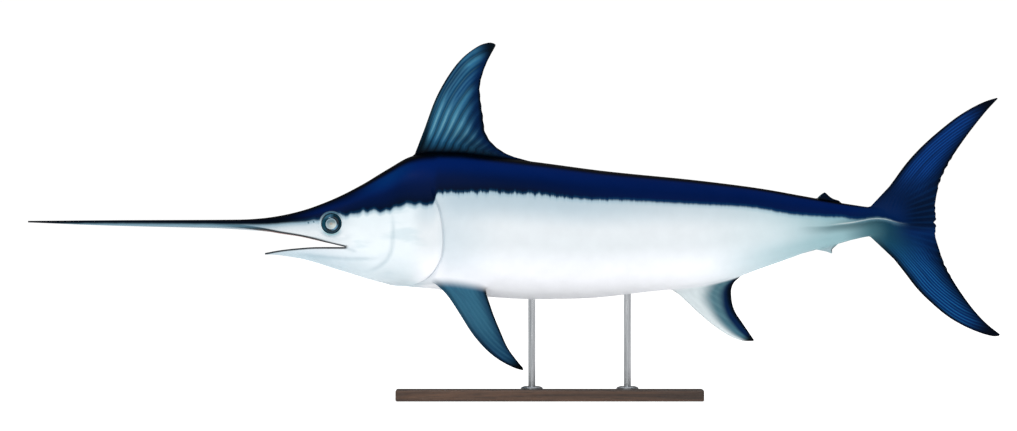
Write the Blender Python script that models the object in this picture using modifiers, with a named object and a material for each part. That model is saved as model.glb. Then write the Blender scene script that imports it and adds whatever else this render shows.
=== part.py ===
"""A life-size swordfish, still and level, on a plain display stand.

The fish faces -X with its back to +Z, and its left side is the -Y side. The origin is on the floor, under the
middle of its length. Every size below is in millimetres, and becomes metres as the meshes are made.
"""

import math

import bmesh
import bpy
import numpy as np
from mathutils import Vector

MM = 0.001
GAP = 0.3  # clearance between pieces that meet
REACH_Y = 400  # cutters run this far out on both sides, and between these heights
REACH_LOW_Z, REACH_HIGH_Z = -200, 1300
SPARE = 10  # how far the cutters run past the ends of the fish
SHARP_ANGLE = math.radians(35)

# Overall places along the fish, from the tip of the bill to the fork of the tail
BILL_TIP_X = -1500
MOUTH_CORNER_X = -519
LOWER_JAW_TIP_X = -769
TAIL_FORK_X = 1299

# Side profile, as (x, z): the back from the tip of the bill to the fork of the tail, and the belly behind the mouth
BACK = [
    (-1500, 556), (-1241, 558), (-846, 560), (-778, 564), (-722, 572), (-660, 586), (-565, 620), (-472, 666),
    (-389, 716), (-315, 756), (-262, 767), (-180, 766), (-90, 756), (65, 738), (278, 710), (574, 680), (760, 656),
    (907, 630), (1043, 606), (1110, 598), (1299, 603),
]
BELLY = [
    (-519, 398), (-426, 370), (-352, 356), (-241, 345), (-90, 322), (65, 314), (200, 316), (426, 338), (574, 354),
    (648, 370), (694, 384), (759, 408), (833, 434), (907, 461), (981, 481), (1043, 497), (1110, 509), (1299, 500),
]
# Height of the widest part of each section, and half the width there
WAIST = [
    (-519, 475), (-472, 477), (-389, 491), (-241, 514), (-90, 528), (426, 532), (691, 537), (907, 551), (1299, 551),
]
HALF_WIDTH = [
    (-519, 80), (-426, 101), (-315, 123), (-241, 134), (-120, 145), (-12, 149), (142, 147), (278, 139), (426, 126),
    (574, 112), (722, 92), (870, 68), (981, 50), (1043, 40), (1110, 31), (1160, 23), (1228, 12), (1299, 1.5),
]
# Upper jaw and bill: the lowest line seen from the side, how far the underside bulges below the jaw's edge
# (below zero it is hollow), and half the width
UPPER_JAW_LOW = [
    (-1500, 551), (-1241, 541), (-944, 534), (-846, 529), (-778, 524), (-722, 518), (-660, 509), (-611, 498),
    (-565, 486), (-519, 475),
]
UNDERSIDE_BULGE = [(-1500, 2), (-1241, 6), (-944, 10), (-846, 10), (-760, 4), (-700, -1), (-611, -6), (-519, -8)]
UPPER_JAW_HALF_WIDTH = [
    (-1500, 2), (-1488, 7), (-1440, 11), (-1241, 19), (-944, 30), (-846, 35), (-778, 40), (-722, 46), (-660, 55),
    (-611, 63), (-565, 72), (-519, 80),
]
# Lower jaw: its edge and its lowest line seen from the side, the depth of its trough, and half its width
LOWER_JAW_EDGE = [(-769, 456), (-747, 461), (-710, 467), (-660, 472), (-611, 475), (-519, 475)]
LOWER_JAW_LOW = [(-769, 452), (-747, 452), (-710, 448), (-660, 440), (-611, 427), (-565, 412), (-519, 398)]
TROUGH_DEPTH = [(-769, 0), (-740, 3), (-660, 9), (-611, 12), (-519, 10)]
LOWER_JAW_HALF_WIDTH = [(-769, 1.5), (-755, 6), (-710, 16), (-660, 27), (-611, 42), (-565, 60), (-519, 80)]
THROAT_SETBACK = 80  # how far the middle of the mouth runs back from its corners

# How full the sections are: 2 is an ellipse, and more is squarer
UPPER_FULLNESS = [(-1500, 2.0), (-565, 2.15), (-241, 2.25), (700, 2.2), (1299, 2.0)]
LOWER_FULLNESS = [(-769, 1.9), (-519, 1.9), (-241, 2.15), (700, 2.15), (1299, 2.0)]

# Sections: how many points over the back, under the belly and across the mouth, and (end, spacing) of the stations
OVER_POINTS, UNDER_POINTS, MOUTH_POINTS = 14, 10, 6
BODY_SPACING = [(-240, 31), (560, 61), (1000, 43), (1150, 27), (1299, 37)]
UPPER_JAW_SPACING = [(-1440, 15), (-800, 71), (-519, 29)]
LOWER_JAW_SPACING = [(-740, 14), (-519, 31)]

# Where the body is parted, as x at a straight cut
BILL_CUT_X = -779
TRUNK_CUT_X = 250
STALK_CUT_X = 780
TAIL_ROOT_CUT_X = 1120
GILL_SLIT = [
    (-318, 800), (-296, 735), (-272, 680), (-247, 630), (-225, 590), (-211, 540), (-208, 497), (-215, 454),
    (-235, 414), (-262, 381), (-296, 340), (-310, 300),
]
SLIT_STEPS, JOINT_STEPS = 16, 6
MOUTH_CUT_Z = 476  # between the jaws, ahead of the tip of the lower one
JAW_JOINT = [(MOUTH_CORNER_X, 475), (-440, 425), (-380, 385), (-350, 340), (-350, 300)]

# Gill cover: a curved plate let into each side of the head, ahead of the slit
COVER_FRONT = [
    (-262, 612), (-320, 620), (-368, 590), (-388, 535), (-384, 470), (-362, 415), (-322, 382), (-282, 378),
]
COVER_LOW_Z, COVER_HIGH_Z = 385, 615  # where its rear edge leaves the slit
COVER_THICKNESS = 9
COVER_INNER_Y = 20  # clear of the middle of the head
COVER_POCKET_REACH = 20  # its pocket runs out behind the slit by this much
COVER_STEPS = 10

# Eye: a flattened ball, set by its middle seen from the side
EYE_X, EYE_Z = -563, 548
EYE_RADIUS = 31
EYE_HALF_DEPTH = 14
EYE_SUNK = 7  # its middle lies this far under the skin
EYE_SEGMENTS, EYE_RINGS = 16, 10

# Fins, as edges seen from the side from root to tip, with half the thickness at the root and the tip
FIRST_DORSAL_FRONT = [
    (-312, 735), (-306, 762), (-278, 836), (-241, 935), (-204, 1002), (-167, 1051), (-130, 1083), (-93, 1103),
    (-71, 1107), (-57, 1101),
]
FIRST_DORSAL_REAR = [
    (60, 715), (25, 743), (-12, 758), (-49, 779), (-77, 807), (-91, 836), (-96, 877), (-103, 926), (-106, 966),
    (-99, 1003), (-86, 1040), (-57, 1095),
]
SECOND_DORSAL_FRONT = [(905, 615), (920, 629), (938, 638), (958, 644)]
SECOND_DORSAL_REAR = [(1012, 600), (1006, 615), (999, 625), (985, 627), (972, 633), (961, 643)]
FIRST_ANAL_FRONT = [
    (475, 362), (485, 343), (509, 329), (537, 304), (574, 267), (611, 236), (648, 210), (685, 191), (713, 185),
    (738, 185),
]
FIRST_ANAL_REAR = [
    (712, 405), (694, 382), (676, 361), (670, 340), (672, 309), (682, 276), (701, 247), (722, 216), (741, 188),
]
SECOND_ANAL_FRONT = [(915, 480), (925, 468), (944, 464), (963, 460), (981, 454)]
SECOND_ANAL_REAR = [(1018, 500), (1004, 485), (990, 474), (982, 466), (983, 456)]
TAIL_UPPER_FRONT = [
    (1080, 585), (1096, 598), (1117, 614), (1167, 677), (1204, 725), (1241, 768), (1315, 836), (1389, 891),
    (1463, 928), (1491, 936),
]
TAIL_UPPER_REAR = [
    (1298, 580), (1300, 614), (1310, 664), (1327, 707), (1352, 752), (1389, 807), (1426, 856), (1463, 901),
    (1493, 933),
]
TAIL_LOWER_FRONT = [
    (1080, 520), (1096, 511), (1114, 502), (1167, 444), (1204, 398), (1241, 350), (1278, 312), (1352, 252),
    (1426, 215), (1463, 203), (1485, 199), (1497, 201),
]
TAIL_LOWER_REAR = [
    (1298, 520), (1301, 500), (1309, 472), (1327, 426), (1352, 378), (1389, 321), (1426, 273), (1463, 235),
    (1500, 206),
]
PECTORAL_FRONT = [
    (-251, 398), (-240, 370), (-207, 328), (-167, 269), (-130, 211), (-93, 167), (-56, 135), (-19, 113), (12, 100),
    (26, 97),
]
PECTORAL_REAR = [(-98, 374), (-91, 343), (-80, 315), (-62, 262), (-43, 216), (-19, 162), (6, 127), (29, 99)]
PECTORAL_ROOT_Y, PECTORAL_ROOT_Z = 74, 365
PECTORAL_SPREAD = 0.6  # how far the fin runs outwards for each millimetre down
KEEL_Z = 554
KEEL_FRONT = [(930, 30), (962, 55), (1010, 62), (1070, 61), (1100, 58)]
KEEL_REAR = [(1225, 4), (1208, 18), (1178, 34), (1140, 48), (1108, 57)]
# Each fin's edges, half its thickness at the root and at the tip, and its facets along the span and the chord
UPRIGHT_FINS = {
    "first_dorsal_fin": (FIRST_DORSAL_FRONT, FIRST_DORSAL_REAR, 11, 1.6, 12, 6),
    "second_dorsal_fin": (SECOND_DORSAL_FRONT, SECOND_DORSAL_REAR, 4, 1.2, 5, 4),
    "first_anal_fin": (FIRST_ANAL_FRONT, FIRST_ANAL_REAR, 9, 1.4, 9, 5),
    "second_anal_fin": (SECOND_ANAL_FRONT, SECOND_ANAL_REAR, 4, 1.2, 5, 4),
    "tail_fin_upper": (TAIL_UPPER_FRONT, TAIL_UPPER_REAR, 11, 1.6, 11, 6),
    "tail_fin_lower": (TAIL_LOWER_FRONT, TAIL_LOWER_REAR, 11, 1.6, 11, 6),
}
PECTORAL_FORM = (PECTORAL_FRONT, PECTORAL_REAR, 9, 1.3, 10, 5)
KEEL_FORM = (KEEL_FRONT, KEEL_REAR, 5, 2, 6, 4)
EDGE_HALF_THICKNESS = 0.6  # at the rear edge of every fin
THINNING = 1.3  # how early a fin thins towards its tip
CHORD_CROWDING = 1.3  # draws the facets of a fin towards its front edge
LENS_SCALE, LENS_TAPER = 2.1, 0.8  # the section of a fin: steep at the front, thin at the rear

# Stand
BASE_LENGTH, BASE_WIDTH, BASE_HEIGHT = 950, 420, 36
BASE_MIDDLE_X = 110
BASE_BEVEL, BASE_BEVEL_STEPS = 5, 2
ROD_X = {"front": 55, "rear": 350}
ROD_RADIUS = 11
ROD_TOP_Z = {"front": 375, "rear": 390}
ROD_SOCKET_LOW_Z = 200  # clear below the belly
FLANGE_PROFILE = [
    (ROD_RADIUS + GAP, 10), (22, 10), (31, 7), (34, 4), (34, 0), (ROD_RADIUS + GAP, 0),
]  # (radius, height) of its turned section
ROUND_STEPS = 24

COLOURS = {
    "back": ((0.003, 0.012, 0.075, 1), 0.35, 0.0),
    "flank": ((0.78, 0.84, 0.87, 1), 0.35, 0.0),
    "fin": ((0.012, 0.06, 0.15, 1), 0.4, 0.0),
    "eye": ((0.01, 0.03, 0.05, 1), 0.08, 0.0),
    "stand_wood": ((0.05, 0.035, 0.025, 1), 0.45, 0.0),
    "stand_steel": ((0.55, 0.56, 0.57, 1), 0.3, 1.0),
}


def clear_scene():
    for obj in list(bpy.data.objects):
        bpy.data.objects.remove(obj, do_unlink=True)


def new_collection(name):
    collection = bpy.data.collections.new(name)
    bpy.context.scene.collection.children.link(collection)
    return collection


def material(name):
    made = bpy.data.materials.get(name)
    if made is None:
        colour, roughness, metallic = COLOURS[name]
        made = bpy.data.materials.new(name)
        made.use_nodes = True
        shader = made.node_tree.nodes["Principled BSDF"]
        shader.inputs["Base Color"].default_value = colour
        shader.inputs["Roughness"].default_value = roughness
        shader.inputs["Metallic"].default_value = metallic
    return made


def smooth_through(points):
    """A function through (x, value) points that keeps their rises and falls, with no overshoot between them."""
    xs = np.array([p[0] for p in points], float)
    values = np.array([p[1] for p in points], float)
    steps = np.diff(xs)
    rises = np.diff(values) / steps
    slopes = np.zeros(len(xs))
    slopes[0], slopes[-1] = rises[0], rises[-1]
    for i in range(1, len(xs) - 1):
        if rises[i - 1] * rises[i] > 0:
            before = 2 * steps[i] + steps[i - 1]
            after = steps[i] + 2 * steps[i - 1]
            slopes[i] = (before + after) / (before / rises[i - 1] + after / rises[i])

    def value(x):
        i = int(np.clip(np.searchsorted(xs, x) - 1, 0, len(xs) - 2))
        t = min(max((x - xs[i]) / steps[i], 0.0), 1.0)
        return float(
            values[i] * (1 + 2 * t) * (1 - t) ** 2
            + slopes[i] * steps[i] * t * (1 - t) ** 2
            + values[i + 1] * t * t * (3 - 2 * t)
            + slopes[i + 1] * steps[i] * t * t * (t - 1)
        )

    return value


def along(points):
    """A smooth path through (a, b) points, as a function of the share of its length from 0 to 1."""
    lengths = [0.0]
    for p, q in zip(points, points[1:]):
        lengths.append(lengths[-1] + math.dist(p, q))
    shares = [length / lengths[-1] for length in lengths]
    first = smooth_through([(s, p[0]) for s, p in zip(shares, points)])
    second = smooth_through([(s, p[1]) for s, p in zip(shares, points)])
    return lambda share: (first(share), second(share))


def stations(start, spacing):
    """Places from start, at about each spacing up to its end."""
    places = [start]
    for end, step in spacing:
        count = max(1, round((end - places[-1]) / step))
        begin = places[-1]
        places += [begin + (end - begin) * (i + 1) / count for i in range(count)]
    return places


back, belly, waist = smooth_through(BACK), smooth_through(BELLY), smooth_through(WAIST)
half_width = smooth_through(HALF_WIDTH)
upper_jaw_low, underside_bulge = smooth_through(UPPER_JAW_LOW), smooth_through(UNDERSIDE_BULGE)
upper_jaw_half_width = smooth_through(UPPER_JAW_HALF_WIDTH)
lower_jaw_edge, lower_jaw_low = smooth_through(LOWER_JAW_EDGE), smooth_through(LOWER_JAW_LOW)
trough_depth, lower_jaw_half_width = smooth_through(TROUGH_DEPTH), smooth_through(LOWER_JAW_HALF_WIDTH)
upper_fullness, lower_fullness = smooth_through(UPPER_FULLNESS), smooth_through(LOWER_FULLNESS)


def arch(x, width, level, rise, fullness, points):
    """Half a section: points from the -Y edge over to the +Y edge. A negative rise hangs below the level."""
    row = []
    for i in range(points + 1):
        angle = math.pi * i / points
        across = math.copysign(abs(math.cos(angle)) ** (2 / fullness), math.cos(angle))
        up = abs(math.sin(angle)) ** (2 / fullness)
        row.append(Vector((x, -width * across, level + rise * up)))
    return row


def mouth_row(x, width, level, bow, setback=0.0):
    """Points inside the mouth from the +Y edge to the -Y edge, without the edges."""
    row = []
    for i in range(1, MOUTH_POINTS):
        across = 1 - 2 * i / MOUTH_POINTS
        middle = 1 - across * across
        row.append(Vector((x + setback * middle, width * across, level + bow * middle)))
    return row


def body_section(x):
    """A whole section: over the back from -Y to +Y, and on under the belly."""
    width, level = half_width(x), waist(x)
    over = arch(x, width, level, back(x) - level, upper_fullness(x), OVER_POINTS)
    under = arch(x, width, level, belly(x) - level, lower_fullness(x), UNDER_POINTS)
    return over + under[-2:0:-1]


def upper_jaw_edge(x):
    return upper_jaw_low(x) + max(underside_bulge(x), 0.0)


def upper_jaw_section(x):
    width, level, bulge = upper_jaw_half_width(x), upper_jaw_edge(x), underside_bulge(x)
    over = arch(x, width, level, back(x) - level, upper_fullness(x), OVER_POINTS)
    return over + mouth_row(x, width, level, -bulge)


def lower_jaw_section(x):
    width, level = lower_jaw_half_width(x), lower_jaw_edge(x)
    under = arch(x, width, level, lower_jaw_low(x) - level, lower_fullness(x), UNDER_POINTS)
    return under[::-1] + mouth_row(x, width, level, -trough_depth(x))[::-1]


def add_ring(bm, section):
    return [bm.verts.new(point * MM) for point in section]


def join_rings(bm, first, second):
    for i in range(len(first)):
        after = (i + 1) % len(first)
        bm.faces.new((first[i], first[after], second[after], second[i]))


def body_mesh(name, grow=0.0):
    """The whole body as one closed mesh, from the fork of the tail to the tips of the bill and the lower jaw."""
    bm = bmesh.new()
    ring = None
    for x in reversed(stations(MOUTH_CORNER_X, BODY_SPACING)):
        following = add_ring(bm, body_section(x))
        if ring is None:
            bm.faces.new(following)
        else:
            join_rings(bm, ring, following)
        ring = following

    over, under = ring[: OVER_POINTS + 1], ring[OVER_POINTS + 1 :]
    corner_width = half_width(MOUTH_CORNER_X)
    throat = add_ring(bm, mouth_row(MOUTH_CORNER_X, corner_width, waist(MOUTH_CORNER_X), 0.0, THROAT_SETBACK))
    upper = over + throat
    for x in reversed(stations(BILL_TIP_X, UPPER_JAW_SPACING)[:-1]):
        following = add_ring(bm, upper_jaw_section(x))
        join_rings(bm, upper, following)
        upper = following
    bm.faces.new(upper)
    lower = [over[-1]] + under + [over[0]] + throat[::-1]
    for x in reversed(stations(LOWER_JAW_TIP_X, LOWER_JAW_SPACING)[:-1]):
        following = add_ring(bm, lower_jaw_section(x))
        join_rings(bm, lower, following)
        lower = following
    bm.faces.new(lower)
    bmesh.ops.triangulate(bm, faces=bm.faces, quad_method="FIXED")  # so that a grown copy has the same facets
    return closed_mesh(bm, name, grow)


def closed_mesh(bm, name, grow=0.0):
    bm.normal_update()
    bmesh.ops.recalc_face_normals(bm, faces=bm.faces)
    if grow:
        bm.normal_update()
        for vert in bm.verts:
            vert.co += vert.normal * grow * MM
    mesh = bpy.data.meshes.new(name)
    bm.to_mesh(mesh)
    bm.free()
    return mesh


def add_object(name, mesh, collection, finish=None):
    obj = bpy.data.objects.new(name, mesh)
    collection.objects.link(obj)
    if finish:
        obj.data.materials.append(material(finish))
        obj.data.shade_smooth()
        obj.data.set_sharp_from_angle(angle=SHARP_ANGLE)
    return obj


def cutter(name, mesh):
    obj = add_object(name, mesh, cutters)
    obj.hide_render = True
    obj.display_type = "WIRE"
    return obj


def boolean(obj, tool, operation):
    modifier = obj.modifiers.new(f"{operation.lower()}_{tool.name}", "BOOLEAN")
    modifier.operation = operation
    modifier.solver = "EXACT"
    modifier.object = tool


def prism(name, outline, low_y=-REACH_Y, high_y=REACH_Y):
    """A cutter with this (x, z) outline, straight across the fish."""
    bm = bmesh.new()
    face = bm.faces.new([bm.verts.new((x * MM, low_y * MM, z * MM)) for x, z in outline])
    raised = bmesh.ops.extrude_face_region(bm, geom=[face])["geom"]
    moved = [v for v in raised if isinstance(v, bmesh.types.BMVert)]
    bmesh.ops.translate(bm, verts=moved, vec=(0, (high_y - low_y) * MM, 0))
    return cutter(name, closed_mesh(bm, name))


def slab(name, low_x, high_x):
    outline = [(low_x, REACH_LOW_Z), (high_x, REACH_LOW_Z), (high_x, REACH_HIGH_Z), (low_x, REACH_HIGH_Z)]
    return prism(name, outline)


def path_points(points, steps):
    path = along(points)
    return [path(i / steps) for i in range(steps + 1)]


def shifted(points, dx):
    return [(x + dx, z) for x, z in points]


def body_piece(name, finish, region):
    """The part of the body inside a region."""
    piece = add_object(name, body_mesh(name), fish, finish)
    boolean(piece, region, "INTERSECT")
    return piece


def make_body():
    half_gap = GAP / 2
    slit = path_points(GILL_SLIT, SLIT_STEPS)
    joint = path_points(JAW_JOINT, JOINT_STEPS)
    slit_top_z, slit_foot_z = slit[0][1], slit[-1][1]

    body_piece("bill", "back", slab("bill_region", BILL_TIP_X - SPARE, BILL_CUT_X - half_gap))
    bill_end_x = BILL_CUT_X + half_gap
    head_outline = [(bill_end_x, slit_top_z), *shifted(slit, -half_gap), (bill_end_x, slit_foot_z)]
    head = body_piece("head", "flank", prism("head_region", head_outline))
    jaw_front_x, joint_foot_z = LOWER_JAW_TIP_X - SPARE, joint[-1][1]
    for name, clearance in (("jaw_region", -half_gap), ("jaw_room", half_gap)):
        moved = [(x + clearance, z + clearance) for x, z in joint]
        region = prism(name, [(jaw_front_x, MOUTH_CUT_Z), *moved, (jaw_front_x, joint_foot_z)])
        if name == "jaw_room":
            boolean(head, region, "DIFFERENCE")
        else:
            body_piece("lower_jaw", "flank", region)

    trunk_end_x = TRUNK_CUT_X - half_gap
    trunk_outline = [*shifted(slit, half_gap), (trunk_end_x, slit_foot_z), (trunk_end_x, slit_top_z)]
    trunk_front = body_piece("trunk_front", "flank", prism("trunk_front_region", trunk_outline))
    trunk_rear = body_piece(
        "trunk_rear", "flank", slab("trunk_rear_region", TRUNK_CUT_X + half_gap, STALK_CUT_X - half_gap)
    )
    body_piece("tail_stalk", "flank", slab("stalk_region", STALK_CUT_X + half_gap, TAIL_ROOT_CUT_X - half_gap))
    body_piece("tail_fin_root", "fin", slab("tail_root_region", TAIL_ROOT_CUT_X + half_gap, TAIL_FORK_X + SPARE))
    return head, trunk_front, trunk_rear


def make_gill_covers(head):
    """A plate on each side, which keeps the outer skin of the head and is let into it."""
    rear_edge = [(x, z) for x, z in path_points(GILL_SLIT, SLIT_STEPS) if COVER_LOW_Z < z < COVER_HIGH_Z]
    front_edge = path_points(COVER_FRONT, COVER_STEPS)
    outline = shifted(rear_edge, -GAP / 2) + front_edge[::-1]
    middle_x = sum(x for x, _ in outline) / len(outline)
    middle_z = sum(z for _, z in outline) / len(outline)
    room = []
    for x, z in front_edge[::-1]:
        reach = math.dist((x, z), (middle_x, middle_z))
        grow = 1 + GAP / reach
        room.append((middle_x + (x - middle_x) * grow, middle_z + (z - middle_z) * grow))
    room = shifted(rear_edge, COVER_POCKET_REACH) + room
    core = cutter("cover_core", body_mesh("cover_core", -COVER_THICKNESS))
    deeper_core = cutter("cover_room_core", body_mesh("cover_room_core", -COVER_THICKNESS - GAP))
    for side, sign in (("left", -1), ("right", 1)):
        low_y, high_y = sorted((sign * COVER_INNER_Y, sign * REACH_Y))
        plate = body_piece(f"gill_cover_{side}", "flank", prism(f"cover_region_{side}", outline, low_y, high_y))
        boolean(plate, core, "DIFFERENCE")
        pocket = prism(f"cover_pocket_{side}", room, low_y, high_y)
        boolean(pocket, deeper_core, "DIFFERENCE")
        boolean(head, pocket, "DIFFERENCE")


def surface_y(x, z):
    """Half the width of the upper head at this height."""
    level = upper_jaw_edge(x)
    fullness = upper_fullness(x)
    share = (z - level) / (back(x) - level)
    return upper_jaw_half_width(x) * (1 - share**fullness) ** (1 / fullness)


def ball(name, grow, side):
    """The eye, a ball flattened along the way the skin faces there."""
    bm = bmesh.new()
    bmesh.ops.create_uvsphere(bm, u_segments=EYE_SEGMENTS, v_segments=EYE_RINGS, radius=MM)
    step = 2.0
    slope_z = (surface_y(EYE_X, EYE_Z + step) - surface_y(EYE_X, EYE_Z - step)) / (2 * step)
    slope_x = (surface_y(EYE_X + step, EYE_Z) - surface_y(EYE_X - step, EYE_Z)) / (2 * step)
    facing = Vector((-slope_x, 1, -slope_z)).normalized()
    middle = Vector((EYE_X, surface_y(EYE_X, EYE_Z), EYE_Z)) - facing * EYE_SUNK
    turn = facing.to_track_quat("Z", "Y")
    for vert in bm.verts:
        local = vert.co.copy()
        radius = EYE_RADIUS + grow
        local = turn @ Vector((local.x * radius, local.y * radius, local.z * (EYE_HALF_DEPTH + grow)))
        vert.co = local + middle * MM
        vert.co.y *= side
    return closed_mesh(bm, name)


def make_eyes(head):
    for side, sign in (("left", -1), ("right", 1)):
        add_object(f"eye_{side}", ball(f"eye_{side}", 0.0, sign), fish, "eye")
        boolean(head, cutter(f"eye_socket_{side}", ball(f"eye_socket_{side}", GAP, sign)), "DIFFERENCE")


def lens(share):
    return LENS_SCALE * math.sqrt(share) * (1 - share) ** LENS_TAPER


def blade_mesh(name, form, place):
    """A fin: lens-shaped sections from its front edge to its blunt rear edge, at each share of its span."""
    front, rear, root_half, tip_half, spans, chords = form
    bm = bmesh.new()
    front_edge, rear_edge = along(front), along(rear)
    ring = None
    for i in range(spans + 1):
        share = i / spans
        fore, aft = front_edge(share), rear_edge(share)
        half = tip_half + (root_half - tip_half) * (1 - share) ** THINNING
        points = [(0.0, 0.0)]
        for j in range(1, chords + 1):
            t = (j / chords) ** CHORD_CROWDING
            points.append((t, max(half * lens(t), EDGE_HALF_THICKNESS)))
        outline = points + [(t, -n) for t, n in points[:0:-1]]
        section = [place(fore[0] + (aft[0] - fore[0]) * t, fore[1] + (aft[1] - fore[1]) * t, n) for t, n in outline]
        following = add_ring(bm, section)
        if ring is None:
            bm.faces.new(following)
        else:
            join_rings(bm, ring, following)
        ring = following
    bm.faces.new(ring)
    return closed_mesh(bm, name)


def add_fin(name, form, place):
    """A fin, its root trimmed to the body with a clearance."""
    fin = add_object(name, blade_mesh(name, form, place), fish, "fin")
    boolean(fin, grown_body, "DIFFERENCE")


def upright(x, z, n):
    return Vector((x, n, z))


def pectoral(side):
    lean = math.hypot(1, PECTORAL_SPREAD)

    def place(x, z, n):
        outward = PECTORAL_ROOT_Y + (PECTORAL_ROOT_Z - z) * PECTORAL_SPREAD
        return Vector((x, side * (outward + n / lean), z + n * PECTORAL_SPREAD / lean))

    return place


def flat_out(side):
    return lambda x, y, n: Vector((x, side * y, KEEL_Z + n))


def make_fins():
    for name, form in UPRIGHT_FINS.items():
        add_fin(name, form, upright)
    for side, sign in (("left", -1), ("right", 1)):
        add_fin(f"pectoral_fin_{side}", PECTORAL_FORM, pectoral(sign))
        add_fin(f"keel_{side}", KEEL_FORM, flat_out(sign))


def make_stand(trunk_front, trunk_rear):
    bpy.ops.mesh.primitive_cube_add(size=1, location=(BASE_MIDDLE_X * MM, 0, BASE_HEIGHT / 2 * MM))
    base = take(bpy.context.object, "stand_base", stand, "stand_wood")
    base.scale = (BASE_LENGTH * MM, BASE_WIDTH * MM, BASE_HEIGHT * MM)
    apply_place(base)
    bevel = base.modifiers.new("rounded_edges", "BEVEL")
    bevel.width = BASE_BEVEL * MM
    bevel.segments = BASE_BEVEL_STEPS
    for place, trunk in (("front", trunk_front), ("rear", trunk_rear)):
        add_rod(f"stand_rod_{place}", ROD_X[place], BASE_HEIGHT + GAP, ROD_TOP_Z[place], ROD_RADIUS, stand)
        high_z = ROD_TOP_Z[place] + GAP
        socket = add_rod(f"rod_socket_{place}", ROD_X[place], ROD_SOCKET_LOW_Z, high_z, ROD_RADIUS + GAP, cutters)
        boolean(trunk, socket, "DIFFERENCE")
        add_flange(f"stand_flange_{place}", ROD_X[place])


def take(obj, name, collection, finish=None):
    """Names an object that an operator made, and puts it in its collection."""
    obj.name = name
    obj.data.name = name
    for holder in list(obj.users_collection):
        holder.objects.unlink(obj)
    collection.objects.link(obj)
    if finish:
        obj.data.materials.append(material(finish))
        obj.data.shade_smooth()
        obj.data.set_sharp_from_angle(angle=SHARP_ANGLE)
    return obj


def apply_place(obj):
    bpy.context.view_layer.update()
    obj.data.transform(obj.matrix_world)
    obj.matrix_world.identity()


def add_rod(name, x, low_z, high_z, radius, collection):
    bpy.ops.mesh.primitive_cylinder_add(
        vertices=ROUND_STEPS,
        radius=radius * MM,
        depth=(high_z - low_z) * MM,
        location=(x * MM, 0, (low_z + high_z) / 2 * MM),
    )
    is_cutter = collection is cutters
    rod = take(bpy.context.object, name, collection, None if is_cutter else "stand_steel")
    rod.hide_render = is_cutter
    rod.display_type = "WIRE" if is_cutter else "TEXTURED"
    return rod


def add_flange(name, x):
    """A turned ring round the foot of a rod, with a rounded upper edge."""
    bm = bmesh.new()
    verts = [bm.verts.new((radius * MM, 0, height * MM)) for radius, height in FLANGE_PROFILE]
    for first, second in zip(verts, verts[1:] + verts[:1]):
        bm.edges.new((first, second))
    mesh = bpy.data.meshes.new(name)
    bm.to_mesh(mesh)
    bm.free()
    flange = add_object(name, mesh, stand, "stand_steel")
    flange.location = (x * MM, 0, (BASE_HEIGHT + GAP) * MM)
    turned = flange.modifiers.new("turned", "SCREW")
    turned.steps = ROUND_STEPS
    turned.render_steps = ROUND_STEPS
    turned.use_merge_vertices = True
    turned.merge_threshold = 0.01 * MM


clear_scene()
fish = new_collection("swordfish")
stand = new_collection("stand")
cutters = new_collection("cutters")
grown_body = cutter("grown_body", body_mesh("grown_body", GAP))
head_piece, trunk_front_piece, trunk_rear_piece = make_body()
make_gill_covers(head_piece)
make_eyes(head_piece)
make_fins()
make_stand(trunk_front_piece, trunk_rear_piece)
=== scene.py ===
"""A life-size swordfish, level on a plain display stand: its skin, its eyes and the finish of its stand.

The fish faces -X with its back to +Z. Sizes are in millimetres, and become metres as the meshes are made.
The left half, on the -Y side, is shaped, and the right half is its mirror image.
"""

import math
from functools import partial

import bmesh
import bpy
import numpy as np
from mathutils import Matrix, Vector


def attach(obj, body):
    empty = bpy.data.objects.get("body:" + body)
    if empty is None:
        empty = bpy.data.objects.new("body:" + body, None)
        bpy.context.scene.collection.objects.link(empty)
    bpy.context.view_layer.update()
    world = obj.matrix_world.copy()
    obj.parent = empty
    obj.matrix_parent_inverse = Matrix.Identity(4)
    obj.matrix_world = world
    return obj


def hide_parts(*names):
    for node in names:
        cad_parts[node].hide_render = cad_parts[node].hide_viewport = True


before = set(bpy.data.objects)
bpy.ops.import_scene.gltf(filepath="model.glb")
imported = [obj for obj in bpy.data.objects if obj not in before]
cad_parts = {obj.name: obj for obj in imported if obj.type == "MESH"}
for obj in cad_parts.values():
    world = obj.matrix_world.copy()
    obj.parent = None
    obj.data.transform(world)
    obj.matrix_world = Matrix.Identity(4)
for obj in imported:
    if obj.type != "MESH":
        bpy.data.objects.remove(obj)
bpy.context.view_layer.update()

MM = 0.001
MIRROR_MERGE, SEAM_MERGE = 1e-7, 2e-6  # distances in metres within which points become one

# Overall places along the fish
BILL_TIP_X, MOUTH_CORNER_X, LOWER_JAW_TIP_X, TAIL_FORK_X = -1500, -519, -769, 1299

# Side profile, as (x, z): the back from the tip of the bill to the fork of the tail, and the lowest line from
# the tip of the lower jaw to the fork
BACK = [
    (-1500, 556), (-1241, 558), (-846, 560), (-778, 564), (-722, 572), (-660, 586), (-565, 620), (-472, 666),
    (-389, 716), (-315, 756), (-262, 767), (-180, 766), (-90, 756), (65, 738), (278, 710), (574, 680),
    (760, 656), (907, 630), (1043, 606), (1110, 598), (1299, 603),
]
LOWEST = [
    (-769, 452), (-747, 452), (-710, 448), (-660, 440), (-611, 427), (-565, 412), (-519, 398), (-426, 370),
    (-352, 356), (-241, 345), (-90, 322), (65, 314), (200, 316), (426, 338), (574, 354), (648, 370),
    (694, 384), (759, 408), (833, 434), (907, 461), (981, 481), (1043, 497), (1110, 509), (1299, 500),
]
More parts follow.
